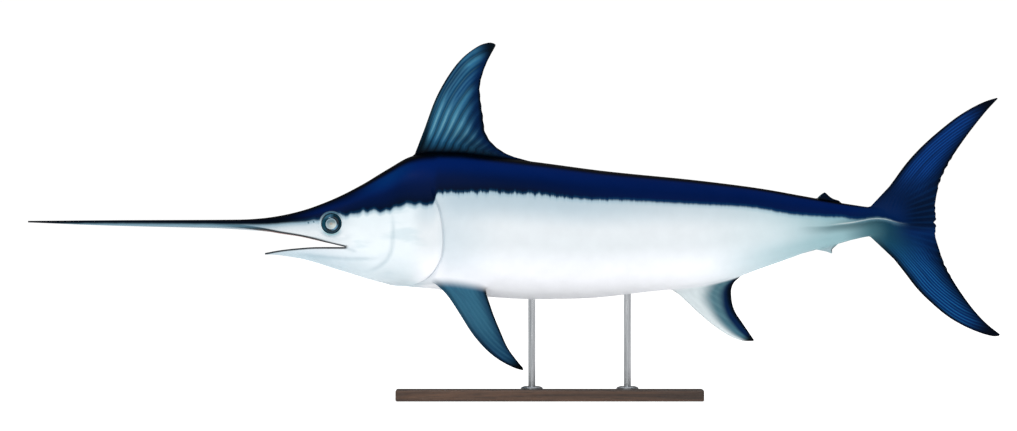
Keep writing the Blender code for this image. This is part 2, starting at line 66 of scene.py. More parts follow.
# Half the width at the widest part of each section, from the tip of the bill, and of the lower jaw
HALF_WIDTH = [
    (-1500, 1), (-1494, 4.5), (-1482, 7.5), (-1440, 11), (-1241, 19), (-944, 30), (-846, 35), (-778, 40),
    (-722, 46), (-660, 55), (-611, 63), (-565, 71), (-519, 80), (-426, 101), (-315, 123), (-241, 134),
    (-120, 145), (-12, 149), (142, 147), (278, 139), (426, 126), (574, 112), (722, 92), (870, 68), (981, 50),
    (1043, 40), (1110, 31), (1160, 23), (1228, 12), (1299, 0),
]
LOWER_JAW_HALF_WIDTH = [(-769, 1.5), (-755, 6), (-710, 16), (-660, 27), (-611, 42), (-565, 60), (-519, 80)]
# Height of the widest part: the edge of each jaw ahead of the corner of the mouth, and the waist behind it
UPPER_JAW_EDGE = [
    (-1500, 553), (-1241, 547), (-944, 544), (-846, 539), (-778, 530), (-722, 519), (-660, 509), (-611, 498),
    (-565, 486), (-519, 475),
]
LOWER_JAW_EDGE = [(-769, 456), (-747, 461), (-710, 467), (-660, 472), (-611, 475), (-519, 475)]
WAIST = [
    (-519, 475), (-472, 477), (-389, 491), (-241, 514), (-90, 528), (426, 532), (691, 537), (907, 551),
    (1299, 551),
]
# How far the roof of the mouth bulges down, or is hollow where that is below zero, and how deep the trough of
# the lower jaw is
ROOF_BULGE = [(-1500, 2), (-1241, 6), (-944, 10), (-846, 10), (-760, 4), (-700, -1), (-611, -6), (-519, -8)]
TROUGH_DEPTH = [(-769, 0), (-740, 3), (-660, 9), (-611, 12), (-519, 10)]
# The rear edge of the tail between its lobes: how far it stands out at each height, and where that starts
FORK_EDGE_START = 1245
FORK_EDGE = [
    (500, 0), (508, 2), (515, -1), (523, 2.6), (530, 0.2), (540, 4.5), (547, 1), (551, -4.5), (555, 0),
    (562, 4.5), (571, 0.4), (579, 3), (587, -0.6), (595, 2), (603, 0),
]
# How far the throat runs back at its middle, and how far ahead of the corner of the mouth that has faded
THROAT_SETBACK, THROAT_REACH = 80, 90
LIP_DROP, LIP_REACH = 2.4, 9  # the lips round over the edge of each jaw
LIP_DARK = (7.4, 3.2)  # how far from the edge of a jaw its dark line of painted shade starts, and is full
# where along the jaws that line starts and ends
LIP_DARK_START, LIP_DARK_END = (-1000, -800), (MOUTH_CORNER_X + 12, MOUTH_CORNER_X - 4)
MOUTH_OPENS = (-800, -740)  # the jaws part between these

# How full the sections are: 2 is an ellipse, and more is squarer
UPPER_FULLNESS = [(-1500, 2.0), (-565, 2.15), (-241, 2.25), (700, 2.2), (1299, 2.0)]
LOWER_FULLNESS = [(-769, 1.9), (-519, 1.9), (-241, 2.15), (700, 2.15), (1299, 2.0)]

# The grid of the skin: (end, spacing) along the fish, and columns from the back to the waist, on to the
# belly, and inside the mouth
BODY_SPACING = [
    (-270, 6.2), (-256, 3.5), (-245, 1.0), (-238, 2.3), (-80, 4.6), (55, 6), (470, 11.5), (705, 5.4),
    (900, 11), (1020, 4.5), (1085, 6), (1299, 2.7),
]
UPPER_JAW_SPACING = [
    (-1499, 0.5), (-1494, 1.7), (-1482, 3), (-800, 8.5), (-644, 6.5), (-608, 2.6), (-519, 4.6),
]
LOWER_JAW_SPACING = [(-766, 1.0), (-755, 3), (-519, 5)]
UPPER_COLUMNS, LOWER_COLUMNS, MOUTH_COLUMNS = 26, 24, 14
OFF_GRID = -100  # column of a point that belongs to no column

# Gill opening: the station that bends to follow it, and its x at each angle round the section, from 90 on the
# back to -90 on the belly
SLIT_STATION, SLIT_WINDOW = -250, 230
SLIT = [
    (90, -250), (45, -250), (30, -253), (25, -248), (15, -230), (4, -220), (-5, -217), (-20, -221),
    (-35, -238), (-50, -263), (-66, -300), (-90, -372),
]
SLIT_TOP_ANGLE, SLIT_TOP_FADE = 27, 8  # it ends at this angle, and fades over so much on each side of it
COVER_RAISE, COVER_REACH = 3.2, 46  # how far the gill cover stands out at its rear edge, and where that fades
COVER_EDGE = (0.6, -3.5)  # its rear edge drops between these, measured from the opening
SLIT_DEPTH, SLIT_HALF, SLIT_MIDDLE = 3.4, 3.0, 1.0  # half its width, and how far behind the cover it lies
SHOULDER_SINK, SHOULDER_REACH = 1.6, 34  # the shoulder is lower just behind the opening
SLIT_SHADE = (0.22, 0.55)  # strength of the shade in the opening, on the cheek and on the throat
SLIT_SHADE_ANGLES = (-25, -50)  # it passes from the one to the other between these
SLIT_SHADE_WIDTH = 1.7  # as a multiple of the opening's own
SHOULDER_SHADE, SHADE_STARTS, SHADE_ENDS = 0.2, (-2, 5), (30, 6)  # strength and place, behind the opening
RELIEF_FROM, RELIEF_TO = -740, -150  # the head's folds and gill opening lie between these

# Folds of the head, as lines seen from the side, with the depth and the reach of each
PREOPERCLE = [
    (-392, 608), (-377, 580), (-372, 540), (-374, 490), (-383, 450), (-402, 425), (-440, 404), (-490, 396),
]
JAW_LINE = [(-715, 459), (-660, 453), (-600, 446), (-522, 440), (-440, 439), (-392, 447), (-378, 462)]
CHEEK_LINE = [(-532, 478), (-510, 470), (-494, 464), (-480, 456)]
UNDER_EYE = [(-640, 520), (-610, 506), (-575, 498), (-535, 500), (-500, 512), (-482, 530)]
FOLDS = [(PREOPERCLE, 2.9, 6.5), (JAW_LINE, 3.0, 5.5), (CHEEK_LINE, 2.6, 5.0), (UNDER_EYE, 1.6, 8.0)]
FOLD_FADE = 0.28  # share of a fold's length over which each of its ends fades
FOLD_SWELL, SWELL_REACH = 0.45, 2.2  # how much the skin swells beside a fold, as multiples of depth and reach
FOLD_SHADE, FOLD_SHADE_REACH = 0.2, 1.3  # strength of its shade for each mm of depth, and its spread
THROAT_RAY_DEPTH, THROAT_RAY_SPACING = 0.9, 13.0  # soft ridges of the rays that carry the skin of the throat
THROAT_ANGLES = (-30, -52)  # the ridges start below the first, and are full below the second
RAYS_START, RAYS_END = (-150, -95), (-14, -26)  # and lie between these, measured from the gill opening

# Lower edge of the dark back, seen from the side
MARK = [
    (-1500, 542), (-1430, 545), (-1278, 547.5), (-1100, 547), (-969, 546), (-846, 544.5), (-796, 544),
    (-740, 546), (-706, 549), (-648, 553), (-611, 558), (-537, 571), (-463, 583), (-400, 585), (-372, 596),
    (-352, 605), (-320, 606), (-300, 602), (-262, 604), (-247, 610), (-238, 634), (-231, 641), (-93, 643),
    (56, 636), (204, 622), (352, 617), (574, 606), (722, 598), (870, 574), (981, 567), (1018, 566),
    (1040, 561), (1075, 560.5), (1114, 567), (1145, 564), (1191, 551), (1299, 546),
]

# Keels: the outer edge of the one on each side, as (x, y), and its height
KEEL = [
    (890, 66), (940, 60), (975, 58), (1010, 62), (1070, 61), (1100, 57), (1140, 47), (1178, 33), (1208, 19),
    (1240, 8), (1260, 4),
]
KEEL_HEIGHT = [
    (890, 537), (960, 538.5), (998, 543), (1037, 547), (1075, 554), (1114, 560), (1137, 559.5), (1168, 552.5),
    (1191, 546.5), (1228, 542), (1260, 542),
]
KEEL_HALF, KEEL_CREST = 9.5, 3.0  # half its thickness, and how far its painted highlight is above its middle
KEEL_SHARPNESS = 1.8  # power of the curve of its section
KEEL_RISES, KEEL_ENDS = (900, 985), (1268, 1230)  # it grows out of the body, and dies away, between these
# Columns of the grid crowd towards the lips from behind and, as a power, from inside the mouth. They also
# crowd towards the keel, over so many degrees, and that sets in and ends between these places.
LIP_CROWDING, LIP_CROWDING_START, MOUTH_CROWDING = 0.45, -380, 1.5
KEEL_CROWDING, KEEL_CROWDING_REACH = 0.62, 26
KEEL_CROWDING_STARTS, KEEL_CROWDING_ENDS = (860, 960), (1290, 1240)

# Eye: its middle seen from the side, and the rings of the orbit as (radius, height above the skin)
EYE_X, EYE_Z = -563, 548
EYE_HOLE = (42, 8, 49)  # half its length, and the angles round the section that it lies between
ORBIT = [
    (40, 0.1), (38.4, 0.2), (36.9, 0.6), (35.7, 1.2), (34.7, 1.9), (33.9, 2.3), (33.1, 2.2), (32.5, 1.6),
    (32.1, 0.5), (32.0, -1.5), (32.0, -6), (31.9, -13), (28, -18), (18, -20),
]
LID_SHADE, LID_RADIUS, LID_REACH = 0.8, 39, 7  # strength of the shade under the eye, and where it lies
LID_BELOW = (12, 34)  # it starts so far below the middle of the eye, and is full at the second
EYE_REGION = 70  # no part of the eye's shade is further from its middle
EYE_ANGLE = 30  # about where the eye and the nostrils are round the section
ORBIT_PAINT = (39.5, 35.3)  # radii at which the paint of the orbit starts, and is full
IRIS_DROP = 2.4  # how far the middle of the iris is below that of the eye
NOSTRILS = [(-634.2, 550), (-617.7, 553)]  # two openings ahead of each eye
NOSTRIL_HOLE = (7.6, 25, 41)  # this and the rings and radii below are given as for the eye
NOSTRIL = [(5.2, 0.1), (4.3, 0.5), (3.6, 0.7), (3.0, 0.4), (2.7, -0.6), (2.5, -3.0), (1.4, -4.2)]
NOSTRIL_SHADE = (3.6, 2.6)
ORBIT_BLEND_ROWS, NOSTRIL_BLEND_ROWS = 3, 2  # rows of faces between the grid and the first ring
# Section of the eyeball from its middle out and round to its back, as (radius, height above the skin)
EYEBALL = [
    (0, 5.9), (3, 5.85), (6, 5.7), (9, 5.4), (12.5, 4.95), (15, 4.5), (16.5, 4.05), (17.3, 3.6), (18.0, 3.3),
    (19.0, 3.1), (20.6, 2.65), (22.7, 2.05), (25, 1.1), (27.4, -0.2), (29.6, -1.8), (31.0, -3.6), (31.7, -6),
    (31.5, -9), (29.3, -13), (22, -16), (12, -17.5), (0, -18),
]
EYE_RADIUS = max(radius for radius, height in EYEBALL)
EYEBALL_STEPS = 56

# Fins, as edges seen from the side, from just off the body to the tip. root is where they meet the body, half
# the half thickness at the root and the tip, flare how far the root spreads, fillet how high it reaches, rows
# the rows of faces, rays the number of rays and lean how much more the rear ones lean back. scallops is the
# count and depth of those of the rear edge, and the share of the span at which they end.
FIRST_DORSAL = dict(
    root=(-308, 50),
    front=[
        (-278, 836), (-241, 935), (-204, 1002), (-167, 1051), (-130, 1083), (-93, 1103), (-71, 1107),
        (-57, 1101),
    ],
    rear=[
        (-12, 758), (-49, 779), (-77, 807), (-91, 836), (-96, 877), (-103, 926), (-106, 966), (-99, 1003),
        (-86, 1040), (-57, 1096),
    ],
    half=(10.5, 1.5), flare=14, fillet=32, rows=68, rays=16, lean=1.25, scallops=(14, 1.3, 0.9),
)
SECOND_DORSAL = dict(
    root=(935, 1009), front=[(941, 632), (949, 639), (958, 644)],
    rear=[(1004, 619), (990, 622), (974, 631), (963, 642)],
    half=(4, 1.1), flare=4, fillet=9, rows=16, rays=5, lean=1.0,
)
FIRST_ANAL = dict(
    root=(486, 702),
    front=[
        (501, 336), (522, 317), (543, 297), (574, 268), (605, 242), (640, 216), (682, 193), (713, 185),
        (738, 185),
    ],
    rear=[(676, 361), (670, 340), (672, 309), (682, 276), (701, 247), (722, 216), (741, 188)],
    half=(9, 1.3), flare=10, fillet=20, rows=46, rays=11, lean=1.2,
)
SECOND_ANAL = dict(
    root=(930, 1004), front=[(947, 467), (963, 462), (980, 455)], rear=[(989, 476), (981, 468), (982, 457)],
    half=(4, 1.1), flare=4, fillet=9, rows=16, rays=5, lean=1.0,
)
TAIL_UPPER = dict(
    root=(1098, 1299),
    front=[
        (1110, 604), (1121, 615), (1133, 630), (1146, 646), (1170, 678), (1204, 725), (1241, 768),
        (1315, 836), (1389, 891), (1463, 928), (1491, 936),
    ],
    rear=[
        (1300, 614), (1310, 664), (1327, 707), (1352, 752), (1389, 807), (1426, 856), (1463, 901),
        (1493, 933),
    ],
    half=(11, 1.5), flare=9, fillet=60, rows=62, rays=24, lean=1.3, scallops=(15, 1.5, 0.5),
)
TAIL_LOWER = dict(
    root=(1098, 1299),
    front=[
        (1120, 496), (1167, 444), (1204, 398), (1241, 350), (1278, 312), (1352, 252), (1426, 215),
        (1463, 203), (1485, 199), (1497, 201),
    ],
    rear=[(1309, 472), (1327, 426), (1352, 378), (1389, 321), (1426, 273), (1463, 235), (1500, 206)],
    half=(11, 1.5), flare=9, fillet=60, rows=60, rays=24, lean=1.3, scallops=(15, 1.4, 0.42),
)
PECTORAL = dict(
    root=(-246, -92),
    front=[(-207, 328), (-167, 269), (-130, 211), (-93, 167), (-56, 135), (-19, 113), (12, 100), (26, 97)],
    rear=[(-80, 315), (-62, 262), (-43, 216), (-19, 162), (6, 127), (29, 99)],
    half=(9, 1.2), flare=12, fillet=32, rows=46, rays=10, lean=1.0,
)
PECTORAL_ROOT_Y, PECTORAL_ROOT_Z, PECTORAL_SPREAD = 74, 365, 0.6
PECTORAL_HOLE = (-276, -62, 26)  # from and to x, and half its height in degrees round the section
PECTORAL_STATION = -170  # the middle of the hole
PECTORAL_FACE_LENGTH = 5  # about how long the faces along the hole are
PECTORAL_LINE = range(-300, -20, 20)  # places at which the line of its root is worked out
PECTORAL_SIDE_FLARE = (24, 12)  # how far its root spreads on its outer and its inner face
PECTORAL_FLARE_POWER = 0.6  # that spread starts more bluntly at the edges the lower this is
FILLET_ROWS = 9  # rows of faces between the body and the blade of a fin
THINNING = 1.3  # how early a fin thins towards its tip
FRONT_CROWDING, ROOT_CROWDING = 1.35, 1.12  # the grid of an upright fin is closer at its front and its root
FRONT_CROWDING_STARTS = (0, 0.25)  # shares of the span between which that at the front sets in
ROOT_WIDEST = 0.8  # the root of an upright fin takes no more than this share of the body's width
ROOT_SQUARENESS = 6  # how evenly a root spreads along the fin before it ends
SCALLOPS_START, SCALLOP_SHARPNESS = (0.02, 0.08), 8  # shares of the span, and how close to the edge they stay
PECTORAL_ROOT_CROWDING = 1.1
PECTORAL_EDGE = 3  # how soon the pectoral fin is at its full thickness, from each edge
LENS_SCALE, LENS_TAPER = 2.1, 0.8  # the section of a fin: steep at the front, thin at the rear
EDGE_HALF_THICKNESS = 0.45
RAY_RIPPLE = 0.55  # how far each fin ray stands out
RIPPLE_FRONT, RIPPLE_REAR = (0.0, 0.1), (1.0, 0.92)  # shares of the chord over which that fades
RIPPLE_ROOT, RIPPLE_TIP = (0.0, 0.12), (1.0, 0.8)  # and of the span


def curve(points, blur=9.0):
    """A smooth function through (x, value) points with no overshoot, rounded over about the blur in mm."""
    xs, values = np.array(points, float).T
    steps = np.diff(xs)
    rises = np.diff(values) / steps
    slopes = np.concatenate([rises[:1], np.zeros(len(xs) - 2), rises[-1:]])
    same_way = rises[:-1] * rises[1:] > 0
    before, after = 2 * steps[1:] + steps[:-1], steps[1:] + 2 * steps[:-1]
    with np.errstate(divide="ignore", invalid="ignore"):
        mean = (before + after) / (before / rises[:-1] + after / rises[1:])
    slopes[1:-1] = np.where(same_way, mean, 0.0)
    step = min(1.0, (xs[-1] - xs[0]) / 200)
    grid = np.linspace(xs[0], xs[-1], int((xs[-1] - xs[0]) / step) + 1)
    i = np.clip(np.searchsorted(xs, grid, side="right") - 1, 0, len(xs) - 2)
    t = (grid - xs[i]) / steps[i]
    fine = (
        values[i] * (1 + 2 * t) * (1 - t) ** 2
        + slopes[i] * steps[i] * t * (1 - t) ** 2
        + values[i + 1] * t * t * (3 - 2 * t)
        + slopes[i + 1] * steps[i] * t * t * (t - 1)
    )
    reach = min(int(3 * blur / step), len(fine) - 1)
    if reach > 0:
        ahead = 2 * fine[0] - fine[reach:0:-1]
        beyond = 2 * fine[-1] - fine[-2 : -reach - 2 : -1]
        kernel = np.exp(-0.5 * (np.arange(-reach, reach + 1) * step / blur) ** 2)
        fine = np.convolve(np.concatenate([ahead, fine, beyond]), kernel / kernel.sum(), mode="valid")
    low, high, last = grid[0], grid[-1], len(grid) - 1
    scale = last / (high - low)
    table = fine.tolist()

    def value(x):
        place = (min(max(x, low), high) - low) * scale
        k = min(int(place), last - 1)
        return table[k] + (table[k + 1] - table[k]) * (place - k)

    return value


def path(points, blur=5.0):
    """A smooth path through (x, z) points, as a function of the share of its length."""
    lengths = [0.0]
    for p, q in zip(points, points[1:]):
        lengths.append(lengths[-1] + math.dist(p, q))
    x_at = curve([(length, p[0]) for length, p in zip(lengths, points)], blur)
    z_at = curve([(length, p[1]) for length, p in zip(lengths, points)], blur)
    total = lengths[-1]
    return lambda share: (x_at(share * total), z_at(share * total))


def stations(start, spacing):
    """Places from start, at about each spacing up to its end."""
    places = [start]
    for end, step in spacing:
        count = max(1, round((end - places[-1]) / step))
        begin = places[-1]
        places += [begin + (end - begin) * (i + 1) / count for i in range(count)]
    return places


def smooth(low, high, value):
    """0 up to low, 1 from high, and an even slope between them; low may be above high."""
    t = min(max((value - low) / (high - low), 0.0), 1.0)
    return t * t * (3 - 2 * t)


def lerp(a, b, t):
    return a + (b - a) * t


def bell(distance):
    """1 at no distance, and softly down to 0 on both sides."""
    return math.exp(-(distance**2))


def bow(start, middle, end, t):
    """A point of the curve from start to end that bows towards middle."""
    return start * (1 - t) ** 2 + middle * 2 * t * (1 - t) + end * t * t


back, lowest = curve(BACK), curve(LOWEST)
half_width, lower_jaw_half_width = curve(HALF_WIDTH, 5), curve(LOWER_JAW_HALF_WIDTH, 4)
upper_edge, lower_edge, waist = curve(UPPER_JAW_EDGE), curve(LOWER_JAW_EDGE), curve(WAIST, 25)
roof_bulge, trough_depth = curve(ROOF_BULGE), curve(TROUGH_DEPTH)
upper_fullness, lower_fullness = curve(UPPER_FULLNESS), curve(LOWER_FULLNESS)
slit_x, keel_edge, mark = curve(SLIT[::-1], 3), curve(KEEL, 8), curve(MARK, 3)
fork_edge, keel_height = curve(FORK_EDGE, 1.2), curve(KEEL_HEIGHT, 10)


def shape_at(x, angle):
    """Half the width, widest level, rise and fullness of the section, above or below its waist."""
    if x >= MOUTH_CORNER_X:
        width, level = half_width(x), waist(x)
    elif angle >= 0:
        width, level = half_width(x), upper_edge(x)
    else:
        width, level = lower_jaw_half_width(x), lower_edge(x)
    if angle >= 0:
        return width, level, back(x) - level, upper_fullness(x)
    return width, level, lowest(x) - level, lower_fullness(x)


def plain_point(x, angle):
    """The outer surface at x, by the angle in degrees round the section: 90 is the back and -90 the belly."""
    width, level, rise, fullness = shape_at(x, angle)
    turn = math.radians(angle)
    across = max(math.cos(turn), 0.0) ** (2 / fullness)
    up = abs(math.sin(turn)) ** (2 / fullness)
    return -width * across, level + rise * up


def angle_for_width(x, y, sign):
    """The angle nearest the back, or with sign -1 the belly, at which the surface is y from the middle."""
    width, _, _, fullness = shape_at(x, sign)
    share = min(y / max(width, 1e-6), 1.0)
    return sign * math.degrees(math.acos(share ** (fullness / 2)))


def slit_shift(angle):
    return slit_x(angle) - SLIT_STATION


def slit_window(station):
    return smooth(SLIT_WINDOW, 0, abs(station - SLIT_STATION))


def slit_strength(angle):
    return smooth(SLIT_TOP_ANGLE + SLIT_TOP_FADE, SLIT_TOP_ANGLE - SLIT_TOP_FADE, angle)


def bent_x(station, angle):
    """Where a station lies once those near the gill opening bend to follow it."""
    return station + slit_shift(angle) * slit_window(station)


def station_at(x, angle):
    """The station that lies at x, at an angle."""
    station = x
    for _ in range(8):
        station = x - slit_shift(angle) * slit_window(station)
    return station


fold_lines = [
    (np.array([path(line)(i / 60) for i in range(61)]), depth, reach) for line, depth, reach in FOLDS
]


def folds_near(x, z):
    """The depth of each fold of the head near a place, and the distance to it as a multiple of its reach."""
    for line, depth, reach in fold_lines:
        squares = ((line - (x, z)) ** 2).sum(1)
        nearest = int(squares.argmin())
        distance = math.sqrt(squares[nearest]) / reach
        if distance < 6:
            share = nearest / (len(line) - 1)
            yield depth * smooth(0, FOLD_FADE, share) * smooth(1, 1 - FOLD_FADE, share), distance


def relief(x, angle, z):
    """How far the skin stands out from the plain section: the gill opening and the folds of the head."""
    if not RELIEF_FROM <= x <= RELIEF_TO:
        return 0.0
    behind = station_at(x, angle) - SLIT_STATION
    strength = slit_strength(angle)
    out = 0.0
    if strength > 0:
        if behind < 0:
            out += COVER_RAISE * smooth(-COVER_REACH, 0, behind) * smooth(*COVER_EDGE, behind)
            rays = smooth(*THROAT_ANGLES, angle) * smooth(*RAYS_END, behind) * smooth(*RAYS_START, behind)
            out += THROAT_RAY_DEPTH * rays * math.cos(2 * math.pi * behind / THROAT_RAY_SPACING)
        else:
            out -= SHOULDER_SINK * smooth(SHOULDER_REACH, 0, behind)
        out -= SLIT_DEPTH * bell((behind - SLIT_MIDDLE) / SLIT_HALF)
        out *= strength
    for depth, distance in folds_near(x, z):
        out -= depth * (bell(distance) - FOLD_SWELL * bell(distance / SWELL_REACH))
    return out


def crease_shade(station, angle, x, z):
    """How deep in a crease a place of the head is, from 0 to 1, for the shade that gathers there."""
    behind = station - SLIT_STATION
    thin = bell((behind - SLIT_MIDDLE) / (SLIT_SHADE_WIDTH * SLIT_HALF))
    thin = lerp(*SLIT_SHADE, smooth(*SLIT_SHADE_ANGLES, angle)) * thin
    soft = SHOULDER_SHADE * smooth(*SHADE_STARTS, behind) * smooth(*SHADE_ENDS, behind)
    shade = slit_strength(angle) * (thin + soft)
    for depth, distance in folds_near(x, z):
        shade += FOLD_SHADE * depth * bell(distance / FOLD_SHADE_REACH)
    return min(shade, 1.0)


def keel_reach(x):
    return smooth(*KEEL_RISES, x) * smooth(*KEEL_ENDS, x) * max(keel_edge(x) - half_width(x), 0.0)


def skin_point(station, angle):
    """A point of the finished surface."""
    x = bent_x(station, angle)
    y, z = plain_point(x, angle)
    step = 1.0 if angle < 89 else -1.0
    other_y, other_z = plain_point(x, angle + step)
    out_y, out_z = -(other_z - z) * step, (other_y - y) * step
    size = math.hypot(out_y, out_z)
    if size > 1e-9:
        out = relief(x, angle, z) / size
        y += out_y * out
        z += out_z * out
    y -= keel_reach(x) * math.exp(-(abs((z - keel_height(x)) / KEEL_HALF) ** KEEL_SHARPNESS))
    return Vector((x + fork_edge(z) * smooth(FORK_EDGE_START, TAIL_FORK_X, x), min(y, 0.0), z))


class Fin:
    """A fin on its own plane: its two edges by share of span, and its root along a line on the body."""

    def __init__(
        self, root_line, root, front, rear, half, flare, fillet, rows, rays, lean, scallops=(0, 0, 1)
    ):
        self.root_line, self.flare, self.rows, self.rays, self.lean = root_line, flare, rows, rays, lean
        self.scallops, self.scallop_depth, self.scallops_end = scallops
        self.root_half, self.tip_half = half
        self.front_x, self.rear_x = root
        self.front = path([(self.front_x, root_line(self.front_x))] + front)
        self.rear = path([(self.rear_x, root_line(self.rear_x))] + rear)
        self.fillet_span = fillet / abs(front[-1][1] - root_line(self.front_x))

    def point(self, chord, span):
        (front_x, front_z), (rear_x, rear_z) = self.front(span), self.rear(span)
        root_x = lerp(self.front_x, self.rear_x, chord)
        straight = lerp(self.root_line(self.front_x), self.root_line(self.rear_x), chord)
        sag = (self.root_line(root_x) - straight) * (1 - span) ** 2
        if self.scallops and chord > 0.5:
            fade = smooth(*SCALLOPS_START, span) * smooth(self.scallops_end, 0.7 * self.scallops_end, span)
            wave = self.scallop_depth * fade * math.cos(2 * math.pi * self.scallops * span)
            wave *= chord**SCALLOP_SHARPNESS
            chord += wave / max(math.hypot(rear_x - front_x, rear_z - front_z), 10.0)
        return lerp(front_x, rear_x, chord), lerp(front_z, rear_z, chord) + sag

    def ray(self, chord, span):
        """Which ray of the fin a place is on, counted from the front. Those further back lean back more."""
        length = math.dist(self.front(span), self.rear(span)) / (self.rear_x - self.front_x)
        return self.rays * chord * length**self.lean

    def half_thickness(self, chord, span):
        most = lerp(self.tip_half, self.root_half, max(1 - span, 0.0) ** THINNING)
        lens = LENS_SCALE * math.sqrt(max(chord, 0.0)) * max(1 - chord, 0.0) ** LENS_TAPER
        fade = smooth(*RIPPLE_FRONT, chord) * smooth(*RIPPLE_REAR, chord)
        fade *= smooth(*RIPPLE_TIP, span) * smooth(*RIPPLE_ROOT, span)
        ripple = RAY_RIPPLE * fade * math.cos(2 * math.pi * self.ray(chord, span)) if fade > 0 else 0.0
        return max(most * lens + ripple, EDGE_HALF_THICKNESS)

    def flared(self, chord):
        return self.flare * (1 - (2 * chord - 1) ** ROOT_SQUARENESS)


def root_reach(fin, x):
    """Half the width of an upright fin's root, where it flares into the body."""
    chord = (x - fin.front_x) / (fin.rear_x - fin.front_x)
    if not 0 < chord < 1:
        return 0.0
    return min(fin.half_thickness(chord, 0) + fin.flared(chord), ROOT_WIDEST * half_width(x))


upper_fins = [(Fin(back, **form), mask) for form, mask in (
    (FIRST_DORSAL, "fin_dorsal"), (SECOND_DORSAL, "fin_small"), (TAIL_UPPER, "fin_tail"))]
lower_fins = [(Fin(lowest, **form), mask) for form, mask in (
    (FIRST_ANAL, "fin_anal"), (SECOND_ANAL, "fin_small"), (TAIL_LOWER, "fin_tail"))]


def end_angle(x, sign):
    """The angle at which the section ends on the back or belly: short of the middle where a fin stands."""
    for fin, _ in upper_fins if sign > 0 else lower_fins:
        reach = root_reach(fin, x)
        if reach > 0:
            return angle_for_width(x, reach, sign)
    return 90.0 * sign


def column_angle(station, column):
    """The angle of a column of the grid, 0 on the back. Columns crowd towards the lips and the keel."""
    crowding = 1 + LIP_CROWDING * smooth(LIP_CROWDING_START, MOUTH_CORNER_X, station)
    if column <= UPPER_COLUMNS:
        angle = end_angle(station, 1) * (1 - column / UPPER_COLUMNS) ** crowding
    else:
        angle = end_angle(station, -1) * ((column - UPPER_COLUMNS) / LOWER_COLUMNS) ** crowding
    pull = KEEL_CROWDING * smooth(*KEEL_CROWDING_STARTS, station) * smooth(*KEEL_CROWDING_ENDS, station)
    if pull > 0:
        level = waist(station)
        reach = (back(station) - level) if keel_height(station) > level else (level - lowest(station))
        middle = math.degrees((keel_height(station) - level) / reach)
        away = angle - middle
        angle = middle + away * (1 - pull * bell(away / KEEL_CROWDING_REACH))
    return angle


def lip(distance):
    return LIP_DROP * math.sin(math.pi * min(distance / LIP_REACH, 1.0))


def mouth_point(station, inward, upper):
    """A point inside the mouth: inward is 0 at the edge of the jaw and 1 at its middle."""
    share = inward**MOUTH_CROWDING
    width = half_width(station) if upper else lower_jaw_half_width(station)
    level = upper_edge(station) if upper else lower_edge(station)
    middle = 1 - (1 - share) ** 2
    open_mouth = smooth(*MOUTH_OPENS, station)
    fade = smooth(MOUTH_CORNER_X - THROAT_REACH, MOUTH_CORNER_X, station)
    x = station + THROAT_SETBACK * fade * middle
    edge = lip(share * width) * open_mouth * (1 - fade)
    if upper:
        shape = lerp(math.sqrt(middle), middle, open_mouth)
        return Vector((x, -width * (1 - share), level - roof_bulge(station) * shape * (1 - fade) - edge))
    return Vector((x, -width * (1 - share), level - trough_depth(station) * middle * (1 - fade) + edge * 0.8))


def edges_within(edges, verts):
    """Those of the edges that have both their ends among the verts."""
    return [e for e in edges if e.verts[0] in verts and e.verts[1] in verts]


class Skin:
    """The mesh of the left half while it is built, and what each of its points remembers."""

    HELPERS = ("station", "column", "inward", "turn", "radius")
    MARKS = (
        "chord", "span", "ray", "fin_dorsal", "fin_anal", "fin_tail", "fin_pectoral", "fin_small", "mouth",
        "orbit", "edge", "rise", "crease", "lip", "keel",
    )

    def __init__(self):
        self.bm = bmesh.new()
        self.layers = {name: self.bm.verts.layers.float.new(name) for name in self.HELPERS + self.MARKS}

    def get(self, vert, name):
        return vert[self.layers[name]]

    def set(self, vert, **values):
        for name, value in values.items():
            vert[self.layers[name]] = value

    def draw_out(self, edges, count, place):
        """Draws rows of faces out of a chain of edges. place sets each new point by its row, from 1."""
        for row in range(1, count + 1):
            made = bmesh.ops.extrude_edge_only(self.bm, edges=edges)["geom"]
            new = {g for g in made if isinstance(g, bmesh.types.BMVert)}
            edges = edges_within([g for g in made if isinstance(g, bmesh.types.BMEdge)], new)
            for vert in new:
                place(vert, row)
        return edges


def body_sheet(skin, places):
    """The body behind the corner of the mouth, as a grid rolled round it."""
    columns = UPPER_COLUMNS + LOWER_COLUMNS
    grid = bmesh.ops.create_grid(skin.bm, x_segments=len(places) - 1, y_segments=columns, size=0.5)["verts"]
    for vert in grid:
        station = places[round((vert.co.x + 0.5) * (len(places) - 1))]
        column = round((0.5 - vert.co.y) * columns)
        skin.set(vert, station=station, column=column)
        point = skin_point(station, column_angle(station, column))
        if column in (0, columns) and abs(abs(column_angle(station, column)) - 90) < 1e-6:
            point.y = 0.0
        vert.co = point
    return grid


